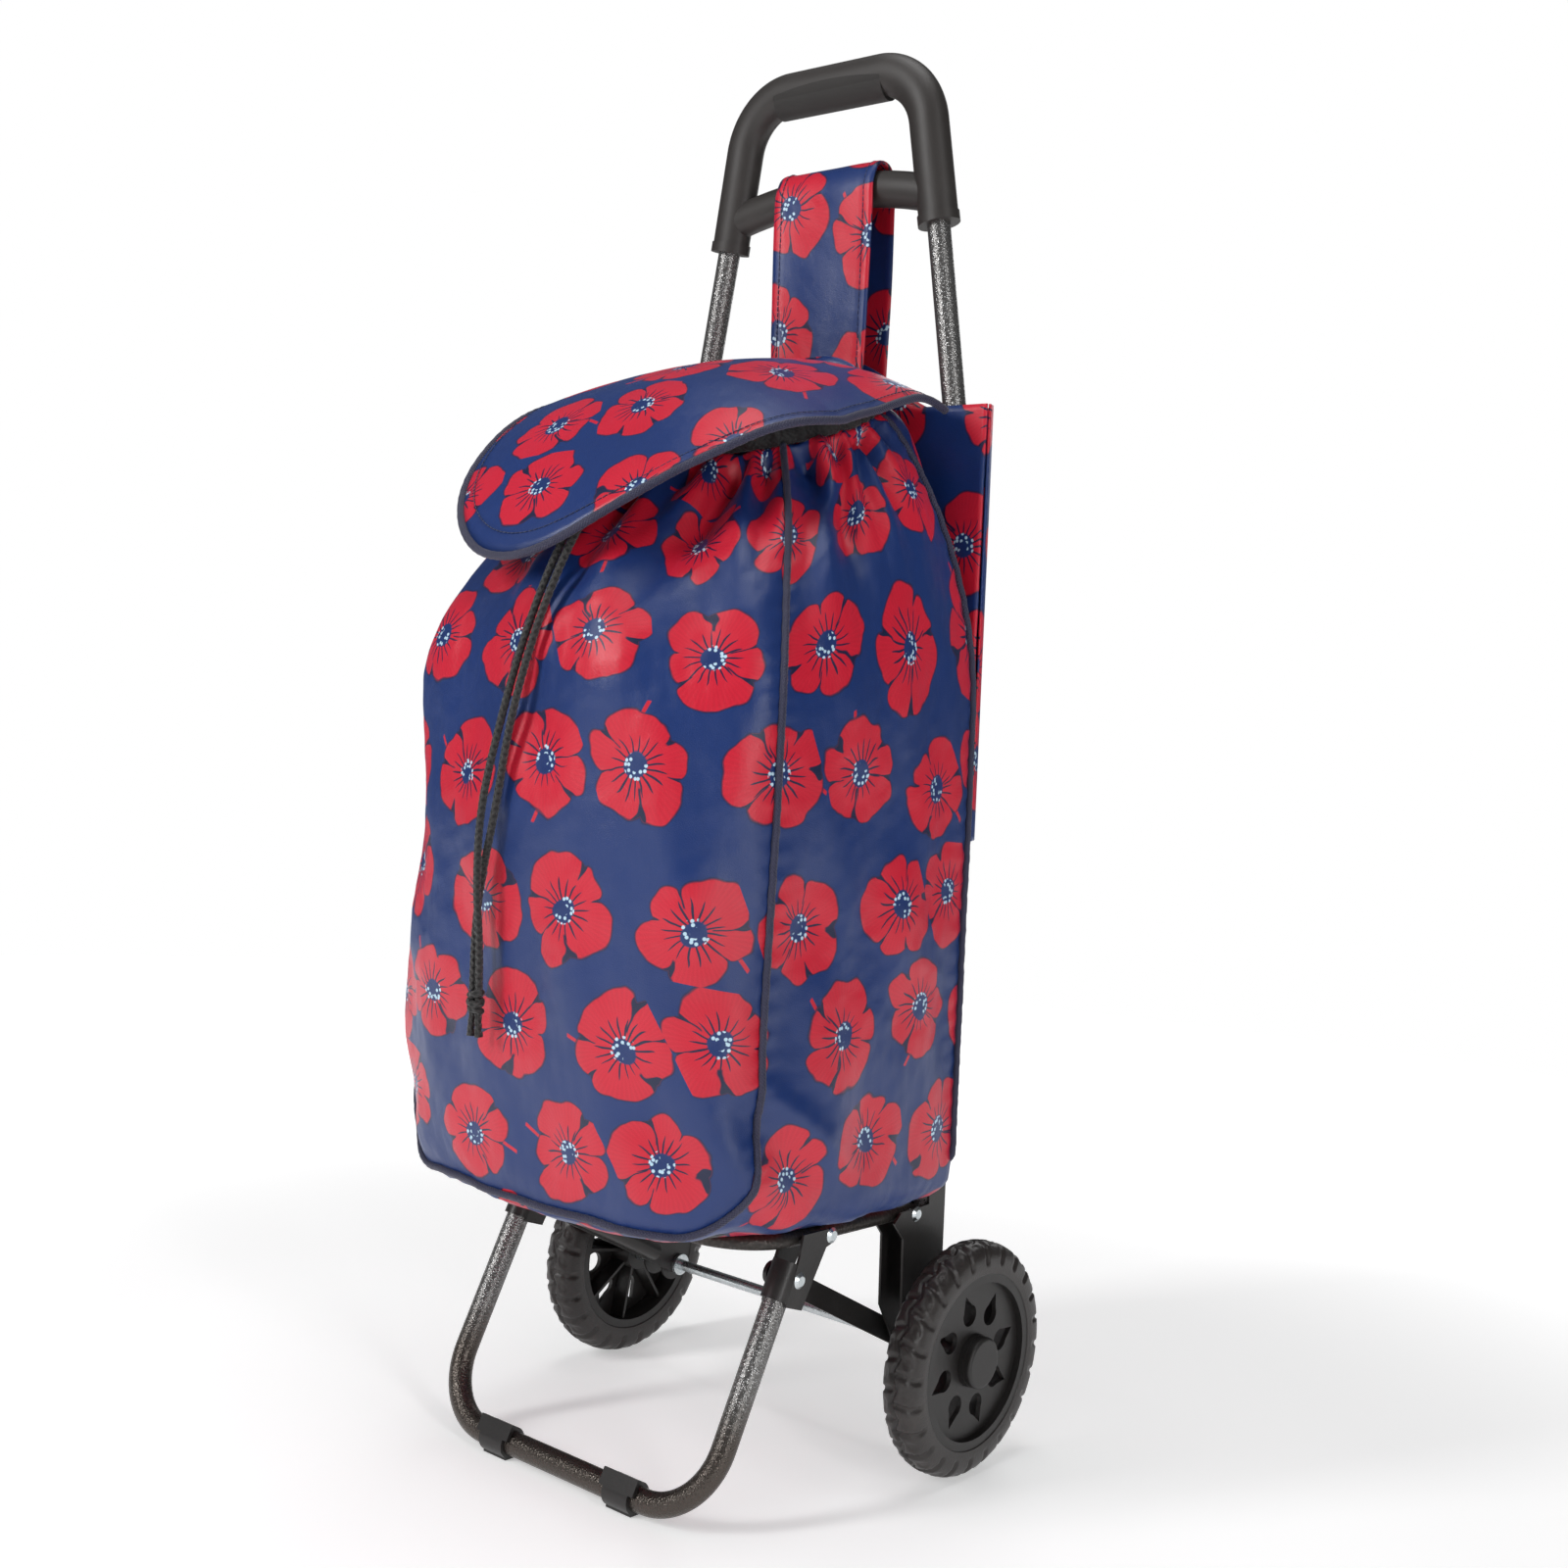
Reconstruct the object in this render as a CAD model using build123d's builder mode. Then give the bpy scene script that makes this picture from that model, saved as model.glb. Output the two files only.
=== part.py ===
"""Folding two-wheeled shopping trolley with a drawstring fabric bag. Units are millimetres.

The frame is drawn with its uprights vertical, the axle at (0, 0, AXLE_Z) and the front towards -Y.
At the end every piece is leaned forward about the axle until the wheels and the foot clips share one
floor, and the origin is moved to the middle of the footprint.
"""
import os
from math import asin, atan2, cos, degrees, hypot, pi, radians, sin

from build123d import *

os.makedirs("parts", exist_ok=True)

# ---- driving dimensions ------------------------------------------------------------------------
RUN = 0.08                     # radial running clearance of a turning fit
GAP = 0.3                      # clearance between pieces that pass each other

WHEEL_R = 80.0                 # 160 mm wheels
AXLE_Z = WHEEL_R
AXLE_R = 4.0
TYRE_X = (148.0, 176.0)        # inner and outer face of the right tyre
RIM_R = 60.0                   # seat of the tyre on the rim
HUB_R = 18.0
BUSH_R = 6.5
CAP_X = 180.0                  # outermost point of the hub cap

TUBE_R = 8.0                   # uprights and leg, 16 mm tube
TUBE_WALL = 1.2
RAIL_X = 121.0                 # the side rails stand this far from the middle
UPRIGHT_Y = 5.0
UPRIGHT_FOOT_Z = 118.0
UPRIGHT_BEND_Z = 700.0
SOCKET = (95.4, 8.6, 848.5)    # where a tube enters the handle
TUBE_IN_SOCKET = 20.0
SPLAY = (RAIL_X - SOCKET[0]) / (SOCKET[2] - UPRIGHT_BEND_Z)

HANDLE_TOP_Z = 970.0
HANDLE_TALL = 29.0             # section across the bar, in the plane of the handle
HANDLE_DEEP = 24.0
HANDLE_CORNER_R = 44.0
CROSSBAR_Z = 881.0
CROSSBAR_TALL = 25.0
CROSSBAR_DEEP = 20.0

PLATE = 1.8                    # sheet of the black brackets
PLATE_X = RAIL_X + TUBE_R + GAP    # inner side of the outer plate
RIVET_R = 2.5
RIVET_HEAD_R = 5.2

PIVOT_A = (-18.0, 176.7)       # (y, z) of base loop on rear bracket
PIVOT_B = (-110.5, 182.5)      # base loop on leg bracket
PIVOT_C = (-141.8, 160.0)      # leg bracket on link bar
PIVOT_D = (0.0, AXLE_Z)        # link bar on axle

LOOP_R = 5.0
LOOP_FRONT_Y = -184.0
LOOP_CORNER_R = 45.0

FOOT = (-219.0, 23.5)          # (y, z) of the foot bar's centre line
LEG_TOP = (-142.5, 168.0)
LEG_CORNER_R = 46.0
CLIP_X = 58.6
CLIP_R = 10.5
CLIP_LONG = 22.0

LINK_R = 6.0
LINK_TAB = 3.0                 # flattened ends of a link bar
LINK_TAB_X = RAIL_X - TUBE_R - GAP - PLATE - 1.6 - LINK_TAB / 2

BAG_HALF = 155.0               # half width of the bag at its front seams
BAG_BACK_HALF = 152.0
BAG_FRONT_Y = -210.0
BAG_BACK_Y = -7.5
FRONT_BOW_Y = -266.0           # the filled front panel bows out to here
SIDE_BOW_X = 163.0
FABRIC = 3.0                   # thickness of the fabric solids
PIPING_R = 3.0
BOX_TOP_Z = 520.0              # the straight walls end here and the gathered shoulder starts
SHOULDER_Z = 620.0
BACK_CORNER_Z = 722.0          # the back panel's top edge arches from here
BACK_CROWN_Z = 768.0
MOUTH = (0.0, -88.0, 703.0)
MOUTH_TILT = 20.0
MOUTH_RX, MOUTH_RY = 108.0, 72.0
CHANNEL = 6.0
CHANNEL_TALL = 14.0

SLEEVE_FOOT_Z = 433.0
STRAP_MID_X = 3.0
STRAP_WIDE = 88.0
POCKET_Z = (470.0, 700.0)
POCKET_HALF = 98.0
POCKET_Y = (26.0, 38.0)
ZIP_Z = 653.0
ZIP_HALF = 90.0

CORD_R = 2.5

# the floor touches the wheels and the foot clips' treads, so it is tilted in the frame drawn here
RISE = asin((WHEEL_R - CLIP_R) / hypot(FOOT[0], AXLE_Z - FOOT[1]))
LEAN = degrees(RISE - atan2(AXLE_Z - FOOT[1], -FOOT[0]))
FLOOR_UP = (0, sin(radians(LEAN)), cos(radians(LEAN)))

AXLE_PLANE = Plane(origin=(0, 0, AXLE_Z), x_dir=(0, 1, 0), z_dir=(1, 0, 0))
AXLE = Axis((0, 0, AXLE_Z), (1, 0, 0))
SIDE = Plane.YZ
MOUTH_PLANE = Plane(origin=MOUTH, x_dir=(1, 0, 0),
                    z_dir=(0, -sin(radians(MOUTH_TILT)), cos(radians(MOUTH_TILT))))
LOOP_SLOPE = atan2(PIVOT_B[1] - PIVOT_A[1], PIVOT_A[0] - PIVOT_B[0])
BASE_PLANE = Plane(origin=(0, *PIVOT_A), x_dir=(1, 0, 0), z_dir=(0, sin(LOOP_SLOPE), cos(LOOP_SLOPE)))
BAG_FLOOR = BASE_PLANE.offset(LOOP_R + GAP)

pieces = []


def keep(builder, label):
    """Name a finished piece and keep it for export."""
    builder.part.label = label
    pieces.append(builder.part)


def keep_pair(builder, label):
    """Keep a right-hand piece and its mirror image on the left."""
    keep(builder, label + "_right")
    other = mirror(builder.part, about=Plane.YZ)
    other.label = label + "_left"
    pieces.append(other)


def tube_start(edge):
    """The plane across a path at its first point."""
    return Plane(origin=edge @ 0, z_dir=edge % 0)


# ---- wheels ------------------------------------------------------------------------------------
with BuildPart() as tyre:
    with BuildSketch(Plane.XZ) as section:
        with BuildLine():
            FilletPolyline((TYRE_X[0], AXLE_Z + RIM_R), (TYRE_X[0], AXLE_Z + WHEEL_R),
                           (TYRE_X[1], AXLE_Z + WHEEL_R), (TYRE_X[1], AXLE_Z + RIM_R), radius=7)
            Line((TYRE_X[1], AXLE_Z + RIM_R), (TYRE_X[0], AXLE_Z + RIM_R))
        make_face()
    revolve(axis=AXLE)
keep_pair(tyre, "tyre")

RIM_X = (149.0, 175.0)
DISC_X = (166.5, 170.0)
HOLES = 8
with BuildPart() as rim:
    with BuildSketch(AXLE_PLANE.offset(RIM_X[0])):
        Circle(RIM_R)
        Circle(RIM_R - 6, mode=Mode.SUBTRACT)
    extrude(amount=RIM_X[1] - RIM_X[0])
    with BuildSketch(AXLE_PLANE.offset(DISC_X[0])):
        Circle(RIM_R - 5)
        with PolarLocations(35, HOLES, start_angle=10):
            with Locations((-2, 0)):
                Circle(7.5, mode=Mode.SUBTRACT)
            Polygon((-1, 7.2), (13, 3), (0, -7), align=None, mode=Mode.SUBTRACT)
    extrude(amount=DISC_X[1] - DISC_X[0])
    with BuildSketch(AXLE_PLANE.offset(TYRE_X[0] - 1)):
        Circle(HUB_R - 4)
    extrude(amount=DISC_X[1] - TYRE_X[0] + 1)
    with BuildSketch(AXLE_PLANE.offset(DISC_X[0])):
        Circle(HUB_R)
        Circle(HUB_R - 4, mode=Mode.SUBTRACT)
    extrude(amount=8)
    with BuildSketch(AXLE_PLANE.offset(RIM_X[0] + 4)):
        with PolarLocations(35.5, HOLES, start_angle=10 + 180 / HOLES):
            Rectangle(44, 2.2)
        Circle(HUB_R - 5, mode=Mode.SUBTRACT)
    extrude(amount=DISC_X[0] - RIM_X[0] - 4)
    with BuildSketch(AXLE_PLANE.offset(TYRE_X[0] - 2)):
        Circle(BUSH_R)
    extrude(amount=30, mode=Mode.SUBTRACT)
keep_pair(rim, "rim")

with BuildPart() as hub_bush:
    with BuildSketch(AXLE_PLANE.offset(TYRE_X[0] - 1)):
        Circle(BUSH_R)
        Circle(AXLE_R + RUN, mode=Mode.SUBTRACT)
    extrude(amount=DISC_X[1] - TYRE_X[0] + 1)
keep_pair(hub_bush, "hub_bush")

with BuildPart() as hub_cap:
    with BuildSketch(AXLE_PLANE.offset(DISC_X[0] + 8)):
        Circle(HUB_R - 0.5)
    extrude(amount=CAP_X - DISC_X[0] - 8)
    fillet(hub_cap.edges().group_by(Axis.X)[-1], radius=2.5)
keep_pair(hub_cap, "hub_cap")

# ---- axle --------------------------------------------------------------------------------------
AXLE_END_X = DISC_X[1] + 3.4
with BuildPart() as axle:
    with BuildSketch(AXLE_PLANE.offset(-AXLE_END_X)):
        Circle(AXLE_R)
    extrude(amount=2 * AXLE_END_X)
keep(axle, "axle")

with BuildPart() as axle_nuts:
    for x in (DISC_X[1] + GAP, -DISC_X[1] - GAP - 2):
        with BuildSketch(AXLE_PLANE.offset(x)):
            Circle(9)
            Circle(AXLE_R, mode=Mode.SUBTRACT)
        extrude(amount=2)
keep(axle_nuts, "axle_push_nuts")

with BuildPart() as spacers:
    spacer_x = PLATE_X + PLATE
    spacer_long = TYRE_X[0] - 1 - GAP - spacer_x
    for x in (spacer_x, -spacer_x - spacer_long):
        with BuildSketch(AXLE_PLANE.offset(x)):
            Circle(BUSH_R)
            Circle(AXLE_R, mode=Mode.SUBTRACT)
        extrude(amount=spacer_long)
keep(spacers, "axle_spacers")

with BuildPart() as collars:
    collar_x = LINK_TAB_X - LINK_TAB / 2 - GAP
    for x in (collar_x - 3, -collar_x):
        with BuildSketch(AXLE_PLANE.offset(x)):
            Circle(8)
            Circle(AXLE_R, mode=Mode.SUBTRACT)
        extrude(amount=3)
keep(collars, "axle_collars")

# ---- uprights ----------------------------------------------------------------------------------
tube_top_z = SOCKET[2] + TUBE_IN_SOCKET
tube_top_x = SOCKET[0] - SPLAY * TUBE_IN_SOCKET
with BuildPart() as upright:
    with BuildLine() as path:
        FilletPolyline((RAIL_X, UPRIGHT_Y, UPRIGHT_FOOT_Z), (RAIL_X, UPRIGHT_Y, UPRIGHT_BEND_Z),
                       (tube_top_x, SOCKET[1], tube_top_z), radius=120)
    with BuildSketch(tube_start(path.line)):
        Circle(TUBE_R)
        Circle(TUBE_R - TUBE_WALL, mode=Mode.SUBTRACT)
    sweep()
keep_pair(upright, "upright")


def rear_plate():
    """Outline of a rear bracket's side plate, from the axle eye up past pivot A."""
    with BuildSketch(Plane.XY) as outline:
        with BuildLine():
            Polyline((14, 192), (-4, 192), (-4, 180.8), (-36, 180.8), (-43, 175), (-32, 162), (-31, 112),
                     (-13, AXLE_Z), (13, AXLE_Z), (14, 112), (14, 192))
        make_face()
        with Locations(PIVOT_D):
            Circle(13)
    return outline.sketch


with BuildPart() as rear_bracket:
    for x in (PLATE_X, RAIL_X - TUBE_R - GAP - PLATE):
        with BuildSketch(SIDE.offset(x)):
            add(rear_plate())
            with Locations(PIVOT_D):
                Circle(AXLE_R, mode=Mode.SUBTRACT)
            with Locations(PIVOT_A):
                Circle(RIVET_R, mode=Mode.SUBTRACT)
        extrude(amount=PLATE)
    with BuildSketch(Plane.XY.offset(100)):
        with Locations((RAIL_X, UPRIGHT_Y + TUBE_R + PLATE / 2)):
            Rectangle(2 * (TUBE_R + GAP + PLATE), PLATE)
    extrude(amount=92)
keep_pair(rear_bracket, "rear_bracket")


def rivet(where, head_out_x, head_in_x):
    """One domed rivet along X through (y, z), between the faces of its two heads."""
    with BuildSketch(SIDE.offset(head_in_x)) as shank:
        with Locations(where):
            Circle(RIVET_R)
    extrude(shank.sketch, amount=head_out_x - head_in_x)
    for x, swell in ((head_out_x, 1.6), (head_in_x, -1.2)):
        with BuildSketch(SIDE.offset(x)) as foot:
            with Locations(where):
                Circle(RIVET_HEAD_R)
        with BuildSketch(SIDE.offset(x + swell)) as crown:
            with Locations(where):
                Circle(RIVET_HEAD_R * 0.62)
        loft(sections=[foot.sketch, crown.sketch])


PLATE_FACES = (PLATE_X + PLATE, RAIL_X - TUBE_R - GAP - PLATE)
with BuildPart() as base_rivets:
    rivet(PIVOT_A, *PLATE_FACES)
    mirror(about=Plane.YZ)
keep(base_rivets, "base_pivot_rivets")

# ---- handle ------------------------------------------------------------------------------------
bar_z = HANDLE_TOP_Z - HANDLE_TALL / 2
bar_x = SOCKET[0] - SPLAY * (bar_z - SOCKET[2])
pad_z = bar_z - 3


def pad_block():
    """The space that the soft grip pad takes out of the top bar."""
    with BuildSketch(Plane.XZ.offset(-SOCKET[1] - HANDLE_DEEP)) as outline:
        with BuildLine():
            ThreePointArc((-48, pad_z), (0, pad_z + 4), (48, pad_z))
            Line((48, pad_z), (48, bar_z - 22))
            Line((48, bar_z - 22), (-48, bar_z - 22))
            Line((-48, bar_z - 22), (-48, pad_z))
        make_face()
    return extrude(outline.sketch, amount=2 * HANDLE_DEEP, mode=Mode.PRIVATE)


with BuildPart() as handle:
    with BuildLine() as path:
        FilletPolyline((SOCKET[0], SOCKET[1], SOCKET[2]), (bar_x, SOCKET[1], bar_z),
                       (-bar_x, SOCKET[1], bar_z), (-SOCKET[0], SOCKET[1], SOCKET[2]),
                       radius=HANDLE_CORNER_R)
    with BuildSketch(Plane(origin=path.line @ 0, x_dir=(0, 1, 0), z_dir=path.line % 0)):
        Ellipse(HANDLE_DEEP / 2, HANDLE_TALL / 2)
    sweep()
    cross_x = SOCKET[0] - SPLAY * 20
    with BuildLine() as cross:
        ThreePointArc((-cross_x, SOCKET[1], CROSSBAR_Z - 12), (0, SOCKET[1], CROSSBAR_Z),
                      (cross_x, SOCKET[1], CROSSBAR_Z - 12))
    with BuildSketch(Plane(origin=cross.line @ 0, x_dir=(0, 1, 0), z_dir=cross.line % 0)) as bar:
        Ellipse(CROSSBAR_DEEP / 2, CROSSBAR_TALL / 2)
    sweep(bar.sketch, path=cross.line)
    for side in (1, -1):
        socket_plane = Plane(origin=(side * SOCKET[0], SOCKET[1], SOCKET[2]), x_dir=(0, 1, 0),
                             z_dir=(-side * SPLAY, 0, 1))
        with BuildSketch(socket_plane):
            Ellipse(HANDLE_DEEP / 2 + 1, HANDLE_TALL / 2 + 0.8)
        extrude(amount=7)
        tube_end = Plane(origin=(side * tube_top_x, SOCKET[1], tube_top_z), x_dir=(0, 1, 0),
                         z_dir=(side * (tube_top_x - RAIL_X), SOCKET[1] - UPRIGHT_Y,
                                tube_top_z - UPRIGHT_BEND_Z))
        with BuildSketch(tube_end):
            Circle(TUBE_R)
        extrude(amount=-TUBE_IN_SOCKET - 6, mode=Mode.SUBTRACT)
    add(pad_block(), mode=Mode.SUBTRACT)
keep(handle, "handle_grip")

with BuildPart() as pad:
    with BuildSketch(Plane.YZ.offset(-50)):
        with Locations((SOCKET[1], bar_z)):
            Ellipse(HANDLE_DEEP / 2, HANDLE_TALL / 2)
        with Locations((SOCKET[1], bar_z - 5)):
            Ellipse(HANDLE_DEEP / 2 - 1, HANDLE_TALL / 2 - 1.5)
    extrude(amount=100)
    add(pad_block(), mode=Mode.INTERSECT)
keep(pad, "handle_pad")

# ---- folding base ------------------------------------------------------------------------------
loop_rise = (PIVOT_B[1] - PIVOT_A[1]) / (PIVOT_B[0] - PIVOT_A[0])
LOOP_BACK_Y = PIVOT_A[0] + 6


def loop_z(y):
    """Height of the base loop's centre line at a given y."""
    return PIVOT_A[1] + loop_rise * (y - PIVOT_A[0])


with BuildPart() as base_loop:
    with BuildLine() as path:
        FilletPolyline((RAIL_X, LOOP_BACK_Y, loop_z(LOOP_BACK_Y)),
                       (RAIL_X, LOOP_FRONT_Y, loop_z(LOOP_FRONT_Y)),
                       (-RAIL_X, LOOP_FRONT_Y, loop_z(LOOP_FRONT_Y)),
                       (-RAIL_X, LOOP_BACK_Y, loop_z(LOOP_BACK_Y)), radius=LOOP_CORNER_R)
    with BuildSketch(tube_start(path.line)):
        Circle(LOOP_R)
        Circle(LOOP_R - 1, mode=Mode.SUBTRACT)
    sweep()
    with BuildSketch(SIDE.offset(-RAIL_X - 10)):
        with Locations(PIVOT_A, PIVOT_B):
            Circle(RIVET_R + RUN)
    extrude(amount=2 * RAIL_X + 20, mode=Mode.SUBTRACT)
keep(base_loop, "base_loop")

with BuildPart() as leg:
    with BuildLine() as path:
        FilletPolyline((RAIL_X, *LEG_TOP), (RAIL_X, *FOOT), (-RAIL_X, *FOOT), (-RAIL_X, *LEG_TOP),
                       radius=LEG_CORNER_R)
    with BuildSketch(tube_start(path.line)):
        Circle(TUBE_R)
        Circle(TUBE_R - TUBE_WALL, mode=Mode.SUBTRACT)
    sweep()
    with BuildSketch(SIDE.offset(-RAIL_X - 10)):
        with Locations(PIVOT_C):
            Circle(RIVET_R)
    extrude(amount=2 * RAIL_X + 20, mode=Mode.SUBTRACT)
keep(leg, "leg_tube")

leg_dir = (0, LEG_TOP[0] - FOOT[0], LEG_TOP[1] - FOOT[1])
WEB_LONG = 25.0
with BuildPart() as leg_bracket:
    for x in (PLATE_X, RAIL_X - TUBE_R - GAP - PLATE):
        with BuildSketch(SIDE.offset(x)):
            with BuildLine():
                Polyline((-142, 176), (-139, 189), (-114, 187.5), (-108, 178), (-116, 176),
                         (-129, 156), (-139, 140), (-155, 146), (-142, 176))
            make_face()
            with Locations(PIVOT_B):
                Circle(5)
            with Locations(PIVOT_B, PIVOT_C):
                Circle(RIVET_R, mode=Mode.SUBTRACT)
        extrude(amount=PLATE)
    web_plane = Plane(origin=(RAIL_X, LEG_TOP[0], LEG_TOP[1]), x_dir=(1, 0, 0), z_dir=leg_dir)
    with BuildSketch(web_plane.offset(2 - WEB_LONG)):
        Circle(TUBE_R + GAP + PLATE)
        Circle(TUBE_R + GAP, mode=Mode.SUBTRACT)
        with Locations((0, TUBE_R + 3)):
            Rectangle(40, 2 * TUBE_R + 6, mode=Mode.SUBTRACT)
    extrude(amount=WEB_LONG)
keep_pair(leg_bracket, "leg_bracket")

with BuildPart() as bracket_rivets:
    rivet(PIVOT_B, *PLATE_FACES)
    rivet(PIVOT_C, *PLATE_FACES)
    mirror(about=Plane.YZ)
keep(bracket_rivets, "bracket_rivets")

with BuildPart() as foot_clip:
    with BuildSketch(Plane.YZ.offset(CLIP_X - CLIP_LONG / 2)):
        with Locations(FOOT):
            Circle(CLIP_R)
    extrude(amount=CLIP_LONG)
    tread_plane = Plane(origin=(CLIP_X, *FOOT), x_dir=(1, 0, 0), z_dir=FLOOR_UP)
    with BuildSketch(tread_plane.offset(-CLIP_R)):
        Rectangle(CLIP_LONG, 11)
    extrude(amount=5)
    with BuildSketch(Plane(origin=(CLIP_X, *FOOT), x_dir=(1, 0, 0), z_dir=leg_dir)):
        with Locations((0, -CLIP_R + 1.5)):
            Rectangle(CLIP_LONG + 8, 3)
    extrude(amount=11)
    with BuildSketch(Plane.YZ.offset(CLIP_X - CLIP_LONG)):
        with Locations(FOOT):
            Circle(TUBE_R)
    extrude(amount=2 * CLIP_LONG, mode=Mode.SUBTRACT)
keep_pair(foot_clip, "foot_clip")

link_vector = (0, PIVOT_C[0] - PIVOT_D[0], PIVOT_C[1] - PIVOT_D[1])
link_long = hypot(*link_vector)
TAB_LONG = 34.0
link_plane = Plane(origin=(LINK_TAB_X, *PIVOT_D), x_dir=(1, 0, 0), z_dir=link_vector)
with BuildPart() as link:
    with BuildSketch(link_plane):
        Rectangle(LINK_TAB, 15)
    extrude(amount=link_long)
    for end in (PIVOT_D, PIVOT_C):
        with BuildSketch(SIDE.offset(LINK_TAB_X - LINK_TAB / 2)):
            with Locations(end):
                Circle(7.5)
        extrude(amount=LINK_TAB)
    with BuildSketch(link_plane.offset(TAB_LONG)):
        with Locations((LINK_TAB / 2 - LINK_R, 0)):
            Circle(LINK_R)
    extrude(amount=link_long - 2 * TAB_LONG)
    for end, hole_r in ((PIVOT_D, AXLE_R + RUN), (PIVOT_C, RIVET_R)):
        with BuildSketch(SIDE.offset(LINK_TAB_X - 2 * LINK_TAB)):
            with Locations(end):
                Circle(hole_r)
        extrude(amount=4 * LINK_TAB, mode=Mode.SUBTRACT)
keep_pair(link, "link_bar")

# ---- bag ---------------------------------------------------------------------------------------
FRONT_RIGHT, FRONT_LEFT = (BAG_HALF, BAG_FRONT_Y), (-BAG_HALF, BAG_FRONT_Y)
BACK_RIGHT, BACK_LEFT = (BAG_BACK_HALF, BAG_BACK_Y), (-BAG_BACK_HALF, BAG_BACK_Y)
SIDE_BOW_Y = (BAG_FRONT_Y + BAG_BACK_Y) / 2
BELOW_BAG_Z = 150.0


def bag_outline(inset=0.0, front_bow=FRONT_BOW_Y):
    """Plan of the bag: a bowed front, two slightly bowed sides and a flat back."""
    half, back_half = BAG_HALF - inset, BAG_BACK_HALF - inset
    front, back = BAG_FRONT_Y + inset, BAG_BACK_Y - inset
    ThreePointArc((-half, front), (0, front_bow + inset), (half, front))
    ThreePointArc((half, front), (SIDE_BOW_X - inset, SIDE_BOW_Y), (back_half, back))
    Line((back_half, back), (-back_half, back))
    ThreePointArc((-back_half, back), (-SIDE_BOW_X + inset, SIDE_BOW_Y), (-half, front))


def clear_of_piping(*corners):
    """Open the seam that the piping fills at the ends of a panel."""
    with BuildSketch(Plane.XY) as holes:
        with Locations(*corners):
            Circle(PIPING_R + 0.1)
    extrude(holes.sketch, amount=HANDLE_TOP_Z, mode=Mode.SUBTRACT)


def panel(start, middle, end, top_z):
    """A fabric wall over a plan arc, from the bag floor's plane up to top_z."""
    with BuildSketch(Plane.XY.offset(BELOW_BAG_Z)) as plan:
        with BuildLine() as seam:
            ThreePointArc(start, middle, end)
        trace(seam.line, line_width=FABRIC)
    extrude(plan.sketch, amount=top_z - BELOW_BAG_Z)
    clear_of_piping(start, end)
    split(bisect_by=BAG_FLOOR, keep=Keep.TOP)


with BuildPart() as front_panel:
    panel(FRONT_LEFT, (0, FRONT_BOW_Y), FRONT_RIGHT, BOX_TOP_Z)
keep(front_panel, "front_panel")

with BuildPart() as side_panel:
    panel(FRONT_RIGHT, (SIDE_BOW_X, SIDE_BOW_Y), BACK_RIGHT, BOX_TOP_Z)
keep_pair(side_panel, "side_panel")


def arched(half, z_low):
    """Front view of a rear panel whose top edge arches up in the middle."""
    with BuildLine() as edge:
        Line((-half, BACK_CORNER_Z), (-half, z_low))
        Line((-half, z_low), (half, z_low))
        Line((half, z_low), (half, BACK_CORNER_Z))
        ThreePointArc((half, BACK_CORNER_Z), (0, BACK_CROWN_Z), (-half, BACK_CORNER_Z))
    return edge.line


with BuildPart() as back_panel:
    with BuildSketch(Plane.XZ.offset(-BAG_BACK_Y - FABRIC / 2)):
        make_face(arched(BAG_BACK_HALF, BELOW_BAG_Z).edges())
    extrude(amount=FABRIC)
    clear_of_piping(BACK_LEFT, BACK_RIGHT)
    split(bisect_by=BAG_FLOOR, keep=Keep.TOP)
keep(back_panel, "back_panel")

def floor_slab(inset, low, tall):
    """A sheet of the bag's plan lying on the sloping bag floor."""
    with BuildSketch(Plane.XY.offset(BELOW_BAG_Z)) as plan:
        with BuildLine():
            bag_outline(inset)
        make_face()
    extrude(plan.sketch, amount=100)
    split(bisect_by=BAG_FLOOR.offset(low), keep=Keep.TOP)
    split(bisect_by=BAG_FLOOR.offset(low + tall), keep=Keep.BOTTOM)


BOARD = 4.0
with BuildPart() as bottom_panel:
    floor_slab(FABRIC / 2 + 0.2, 0, FABRIC)
    clear_of_piping(FRONT_LEFT, FRONT_RIGHT, BACK_LEFT, BACK_RIGHT)
keep(bottom_panel, "bottom_panel")

with BuildPart() as base_board:
    floor_slab(FABRIC / 2 + 3, FABRIC + 0.1, BOARD)
keep(base_board, "base_board")


def seam_piping(corner, top_z):
    """A corded seam standing at one corner of the bag."""
    with BuildSketch(Plane.XY.offset(BELOW_BAG_Z)) as section:
        with Locations(corner):
            Circle(PIPING_R)
    extrude(section.sketch, amount=top_z - BELOW_BAG_Z)
    split(bisect_by=BAG_FLOOR, keep=Keep.TOP)


with BuildPart() as front_piping:
    seam_piping(FRONT_RIGHT, BOX_TOP_Z)
keep_pair(front_piping, "front_piping")

with BuildPart() as back_piping:
    seam_piping(BACK_RIGHT, BACK_CORNER_Z)
keep_pair(back_piping, "back_piping")


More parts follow.
